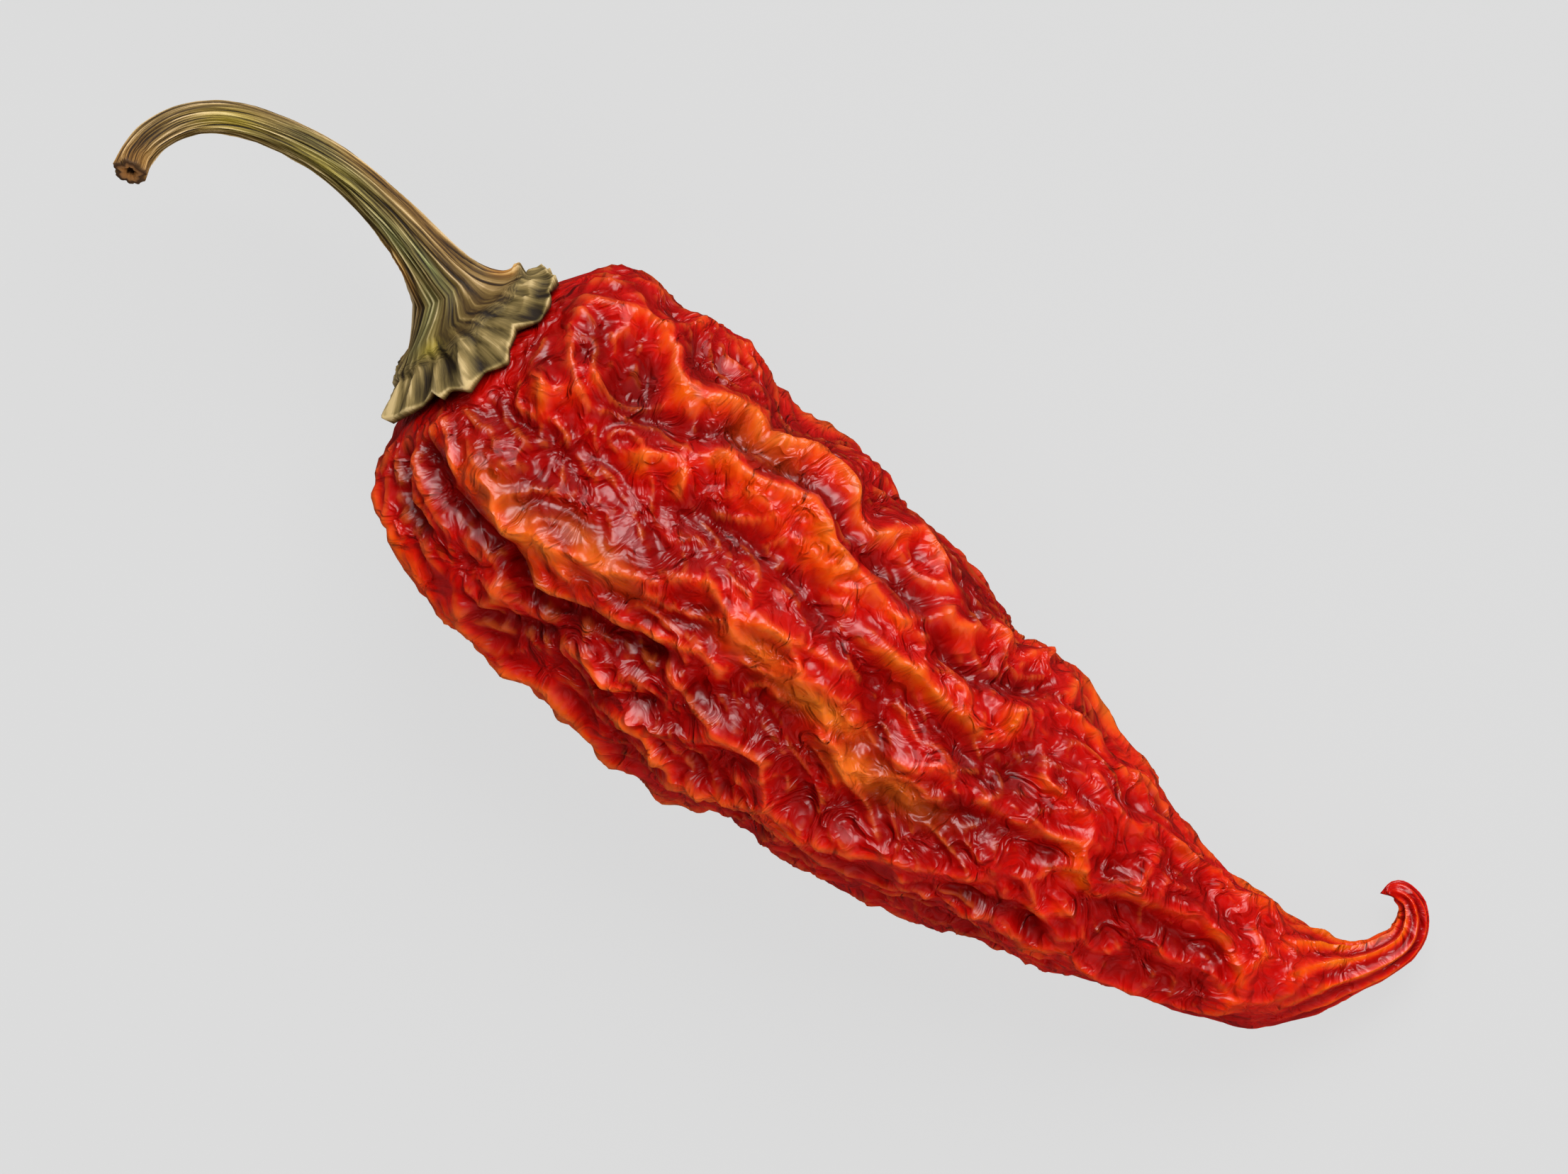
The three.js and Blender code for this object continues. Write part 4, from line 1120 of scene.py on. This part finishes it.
    def build(self) -> bpy.types.Object:
        """Builds the stalk and the calyx in one mesh, with the fields that their finish reads.

        Returns:
            The new object.
        """
        around = np.linspace(0.0, TURN, self.columns, endpoint=False)[None, :]
        length = self.route.length
        along = np.linspace(self.first_ring, length, self.stalk_rows)[:, None]
        thickness = self.route.at(along)[2][..., 0]
        raised, fibre = self.grain(along, around, thickness)
        stalk = self.ring(along, around, thickness * self.ribs(along, around) + raised)
        share = np.linspace(self.foot, 1.0, self.calyx_rows)[:, None]
        beyond = length + self.calyx_reach * (share - self.foot)
        calyx_raised, calyx_fibre = self.grain(beyond, around, self.calyx_radius * share)
        # crease carries the calyx's tone, with its painted shade and painted highlight.
        lift, crease = self.calyx_lift(share, around, calyx_raised)
        rim = self.pod.rim(around)
        start = self.foot_along + self.foot_lean * np.cos(around)
        calyx_along = start + (rim - start) * (share**2 - self.foot**2) / (1.0 - self.foot**2)
        calyx = self.over_dome(calyx_along, around, lift)
        down = np.linspace(1.0, 0.0, self.under_rows)[:, None]
        under_along = np.maximum(rim * down**2, self.dome_tip)
        under = self.over_dome(under_along, around, self.gap + self.rim_curl(around) * down**8)
        cut = self.cut_end(around)
        rows = np.concatenate([cut, stalk, calyx, under])
        self.smooth_flare(rows, len(cut) + len(stalk))
        width = around.shape[1]
        before = np.linspace(-1.0, 0.0, len(cut))[:, None]
        hidden = np.full((len(under), 1), beyond[-1, 0])
        reach = np.concatenate([before, along, beyond, hidden]) * np.ones((1, width))
        ledge = beyond[0, 0] + self.calyx_reach * (self.ledge - self.foot)
        on_flap = smooth_step(reach, ledge - 0.5, ledge + 0.2)
        spread = self.grain_radius * (1.0 + 1.6 * on_flap)
        grain = reach + on_flap * self.flap_grain * (reach - beyond[0, 0])
        fields = {
            "ridge": np.concatenate([
                np.zeros((len(cut), width)), fibre, 0.06 + 0.8 * calyx_fibre + crease,
                np.full((len(under), width), 0.3),
            ]),
            "straight": np.stack([grain, spread * np.cos(around), spread * np.sin(around)], -1),
            "calyx": on_flap,
            "end": 1.0 - smooth_step(reach, -0.3, 0.5),
            "cut": np.clip(reach + 1.0, 0.0, 1.0),
        }
        for name in ("green", "straw", "rust"):
            fields[name] = self.tint(name, reach, around)
        return closed_skin("stalk_and_calyx", rows, fields)

    def ring(self, along: Array, around: Array, radius: Array) -> Array:
        """Places points round the stalk's middle line.

        Args:
            along: mm along the stalk, one a row.
            around: Radians round it, one a column.
            radius: mm from the middle line.

        Returns:
            Points in mm.
        """
        point, tangent, _ = self.route.at(along)
        side = sideways(tangent)
        across = side * (radius * np.cos(around))[..., None]
        up = np.cross(tangent, side) * (radius * np.sin(around))[..., None]
        return point + across + up

    def smooth_flare(self, rows: Array, joint: int) -> None:
        """Smooths the rows where the stalk meets the calyx, in place, so that the foot flares softly.

        Args:
            rows: Points in mm, by row and column.
            joint: The calyx's first row.
        """
        first, last = joint - self.flare_rows, joint + self.flare_rows
        for _ in range(self.flare_rounds):
            means = (rows[first - 1:last - 1] + rows[first + 1:last + 1]) / 2.0
            rows[first:last] = (rows[first:last] + means) / 2.0

    def tint(self, name: str, reach: Array, around: Array) -> Array:
        """Finds how strong one colour of the fibre is.

        Args:
            name: The colour's name.
            reach: mm along the stalk and on over the calyx.
            around: Radians round.

        Returns:
            The colour's share from 0 to 1.
        """
        total = np.zeros_like(reach)
        for tint, along, degrees, reach_along, reach_round, share in TINTS:
            if tint == name:
                off = turn_between(around / DEGREE, degrees) / reach_round
                total = np.maximum(total, share * np.exp(-(((reach - along) / reach_along) ** 2) - off**2))
        return total

    def cut_end(self, around: Array) -> Array:
        """Places the cut end: a pith hollow in a ring of fibre.

        Args:
            around: Radians round the stalk.

        Returns:
            Rows of points in mm.
        """
        start = np.array([[0.0]])
        _, tangent, sizes = self.route.at(start)
        rows = []
        for reach, depth in self.pith:
            ragged = 1.0 + 0.12 * np.sin(5 * around + 0.7) * (reach > 0) + 0.06 * np.sin(11 * around + reach)
            radius = sizes[..., 0] * self.pith_radius * reach * self.ribs(start, around) * ragged
            rows.append(self.ring(start, around, radius) + tangent * (self.pith_depth * depth))
        rows[0] = np.broadcast_to(rows[0][:, :1], rows[0].shape)
        return np.concatenate(rows)


@dataclass(frozen=True)
class DryStalkFinish:
    """Dried woody stalk: dull parallel fibres, olive where green is left, tan where they have bleached."""

    streak_mm: float = 0.22              # width of one streak of fibre
    streak_length_mm: float = 5.0
    fibre_ior: float = 1.45
    tones: tuple[float, ...] = (0.0, 0.18, 0.38, 0.6, 0.85)
    # Colours at those tones, from a dark groove to a bleached strand.
    ramps: tuple[tuple[str, tuple[str, ...]], ...] = (
        ("fibre", ("#201204", "#483210", "#725a2a", "#9c8050", "#d4b688")),
        ("green", ("#1a1a08", "#3a3c18", "#5c6234", "#808a54", "#bcb884")),
        ("straw", ("#2a2404", "#5c500c", "#8c7a1c", "#b8a240", "#dcca80")),
        ("rust", ("#2c1604", "#5e350a", "#915714", "#bf8432", "#e0b068")),
        ("calyx", ("#201406", "#403214", "#67562c", "#8e7846", "#cbb07a")),
    )

    def material(self) -> bpy.types.Material:
        """Makes the material.

        Returns:
            The material.
        """
        material, tree = new_material("dry chilli stalk fibre")
        straight = add_node(tree, "ShaderNodeAttribute", attribute_name="straight").outputs["Vector"]
        ridge = add_node(tree, "ShaderNodeAttribute", attribute_name="ridge").outputs["Fac"]
        end = add_node(tree, "ShaderNodeAttribute", attribute_name="end").outputs["Fac"]
        stretched = add_node(tree, "ShaderNodeMapping", {
            "Vector": straight,
            "Scale": (1.0 / self.streak_length_mm, 0.5 / self.streak_mm, 0.5 / self.streak_mm),
        })
        streaks = add_node(tree, "ShaderNodeTexNoise", {
            "Vector": stretched.outputs[0], "Scale": 1.0, "Detail": 5.0, "Roughness": 0.7,
        })
        spread = add_node(tree, "ShaderNodeMapRange", {
            "Value": streaks.outputs["Fac"], "From Min": 0.32, "From Max": 0.68,
            "To Min": -0.34, "To Max": 0.1,
        })
        tone = add_node(tree, "ShaderNodeMath", {0: ridge, 1: spread.outputs[0]}, operation="ADD")
        colour = None
        for name, codes in self.ramps:
            stops = tuple(zip(self.tones, codes))
            ramp = add_node(tree, "ShaderNodeValToRGB", {"Fac": tone.outputs[0]}, stops=stops)
            if colour is None:
                colour = ramp.outputs["Color"]
                continue
            share = add_node(tree, "ShaderNodeAttribute", attribute_name=name).outputs["Fac"]
            mixed = add_node(tree, "ShaderNodeMix", {
                0: share, 6: colour, 7: ramp.outputs["Color"],
            }, data_type="RGBA")
            colour = mixed.outputs[2]
        cut = add_node(tree, "ShaderNodeAttribute", attribute_name="cut").outputs["Fac"]
        # The cut end is coloured darkest in its middle, pale in the ring round it and dark again at its rim.
        wood = add_node(tree, "ShaderNodeValToRGB", {"Fac": cut}, stops=(
            (0.0, "#1a100a"), (0.3, "#2c1c10"), (0.45, "#a06c38"), (0.7, "#94663a"), (0.85, "#4a301e"),
            (1.0, "#5c4228"),
        ))
        ended = add_node(tree, "ShaderNodeMix", {
            0: end, 6: colour, 7: wood.outputs["Color"],
        }, data_type="RGBA")
        bump = add_node(tree, "ShaderNodeBump", {
            "Height": streaks.outputs["Fac"], "Strength": 0.6, "Distance": 0.00012,
        })
        shader = add_node(tree, "ShaderNodeBsdfPrincipled", {
            "Base Color": ended.outputs[2], "Roughness": 0.72, "IOR": self.fibre_ior,
            "Normal": bump.outputs[0],
        })
        finish_material(tree, shader)
        return material


# The studio

@dataclass(frozen=True)
class BacklitAcrylicFinish:
    """Opal acrylic sheet, lit from below: an even pale grey that takes hardly any shadow."""

    def material(self) -> bpy.types.Material:
        """Makes the material.

        Returns:
            The material.
        """
        material, tree = new_material("backlit opal acrylic")
        shader = add_node(tree, "ShaderNodeBsdfPrincipled", {
            "Base Color": linear_colour("#3a3a3a"), "Roughness": 0.9, "Specular IOR Level": 0.1,
            "Emission Color": linear_colour("#dcdcdc"), "Emission Strength": 0.925,
        })
        finish_material(tree, shader)
        return material


class Side(Enum):
    """Which way a softbox stands, as seen in the picture."""

    TOP = (0.2, 0.8)
    LEFT = (-0.8, 0.3)
    LOWER_RIGHT = (0.5, -0.8)


@dataclass
class Studio:
    """The pale floor, the soft lights and the camera that looks straight down. Sizes are in metres."""

    middle: tuple[float, float, float] = (-0.00367, 0.00302, 0.012)
    turned: float = 36.0 * DEGREE        # the picture's turn against the model's axes
    view_width: float = 0.1106           # what the picture shows at the pod's middle height
    camera_distance: float = 1.188
    sensor: float = 36.0                 # mm
    half_floor: float = 2.0
    floor_drop: float = 0.0002           # how far the floor lies under the pod

    def aim(self, item: bpy.types.Object, spot: Vector) -> None:
        """Puts an object at a spot and turns it to the middle of the scene.

        Args:
            item: A light.
            spot: Where it goes.
        """
        item.location = spot
        item.rotation_euler = (spot - Vector(self.middle)).to_track_quat("Z", "Y").to_euler()

    def softbox(
        self, name: str, side: Side, height: float, size: float, power: float, shines: bool = False,
    ) -> None:
        """Adds a square soft light.

        Args:
            name: The light's name.
            side: Which way it stands.
            height: How high it stands over the floor.
            size: Its edge.
            power: Watts.
            shines: Whether its reflection shows in a glossy skin.
        """
        light = bpy.data.lights.new(name, "AREA")
        light.shape, light.size, light.energy = "SQUARE", size, power
        item = bpy.data.objects.new(name, light)
        item.visible_camera = False
        item.visible_glossy = shines
        bpy.context.scene.collection.objects.link(item)
        right, up = side.value
        cosine, sine = math.cos(self.turned), math.sin(self.turned)
        offset = Vector((right * cosine - up * sine, right * sine + up * cosine, height))
        self.aim(item, Vector(self.middle) + offset)

    def build(self) -> None:
        """Builds the floor, the lights, the surroundings and the camera."""
        scene = bpy.context.scene
        mesh = bpy.data.meshes.new("floor")
        half = self.half_floor
        corners = [(x * half, y * half, -self.floor_drop) for x, y in ((-1, -1), (1, -1), (1, 1), (-1, 1))]
        mesh.from_pydata(corners, [], [(0, 1, 2, 3)])
        mesh.materials.append(BacklitAcrylicFinish().material())
        floor = bpy.data.objects.new("floor", mesh)
        scene.collection.objects.link(floor)
        floor.visible_glossy = False     # its glow lights the skin, but doesn't glare in the wax
        self.softbox("key", Side.TOP, 0.95, 0.95, 20.0, shines=True)
        self.softbox("fill", Side.LOWER_RIGHT, 0.7, 0.9, 9.5)
        self.softbox("side", Side.LEFT, 0.7, 0.5, 2.0)
        world = bpy.data.worlds.new("pale surroundings")
        world.use_nodes = True
        background = world.node_tree.nodes["Background"]
        background.inputs["Color"].default_value = linear_colour("#e6e6e6")
        background.inputs["Strength"].default_value = 0.02
        scene.world = world
        scene.view_settings.view_transform = "Standard"
        lens = bpy.data.cameras.new("camera")
        lens.sensor_width = self.sensor
        lens.lens = self.sensor * self.camera_distance / self.view_width
        camera = bpy.data.objects.new("camera", lens)
        camera.location = Vector(self.middle) + Vector((0.0, 0.0, self.camera_distance))
        camera.rotation_euler = (0.0, 0.0, self.turned)
        scene.collection.objects.link(camera)
        scene.camera = camera


def dress(piece: bpy.types.Object, node: str, material: bpy.types.Material) -> None:
    """Gives a piece its finish and sets it in the model instead of its solid.

    Args:
        piece: The new piece.
        node: The solid that it stands for.
        material: Its finish.
    """
    piece.data.materials.append(material)
    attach(piece, "root")
    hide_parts(node)
    LOG.info("%s: %d faces", piece.name, len(piece.data.polygons))


def main() -> None:
    """Builds the pod, the stalk with its calyx, and the studio."""
    logging.basicConfig(level=logging.INFO, format="%(name)s: %(message)s")
    pod = PodSkin()
    dress(pod.build(), "pod", DriedPodFinish().material())
    stalk = StalkAndCalyx(pod)
    dress(stalk.build(), "stalk_calyx", DryStalkFinish().material())
    Studio().build()


if __name__ == "__main__":
    main()
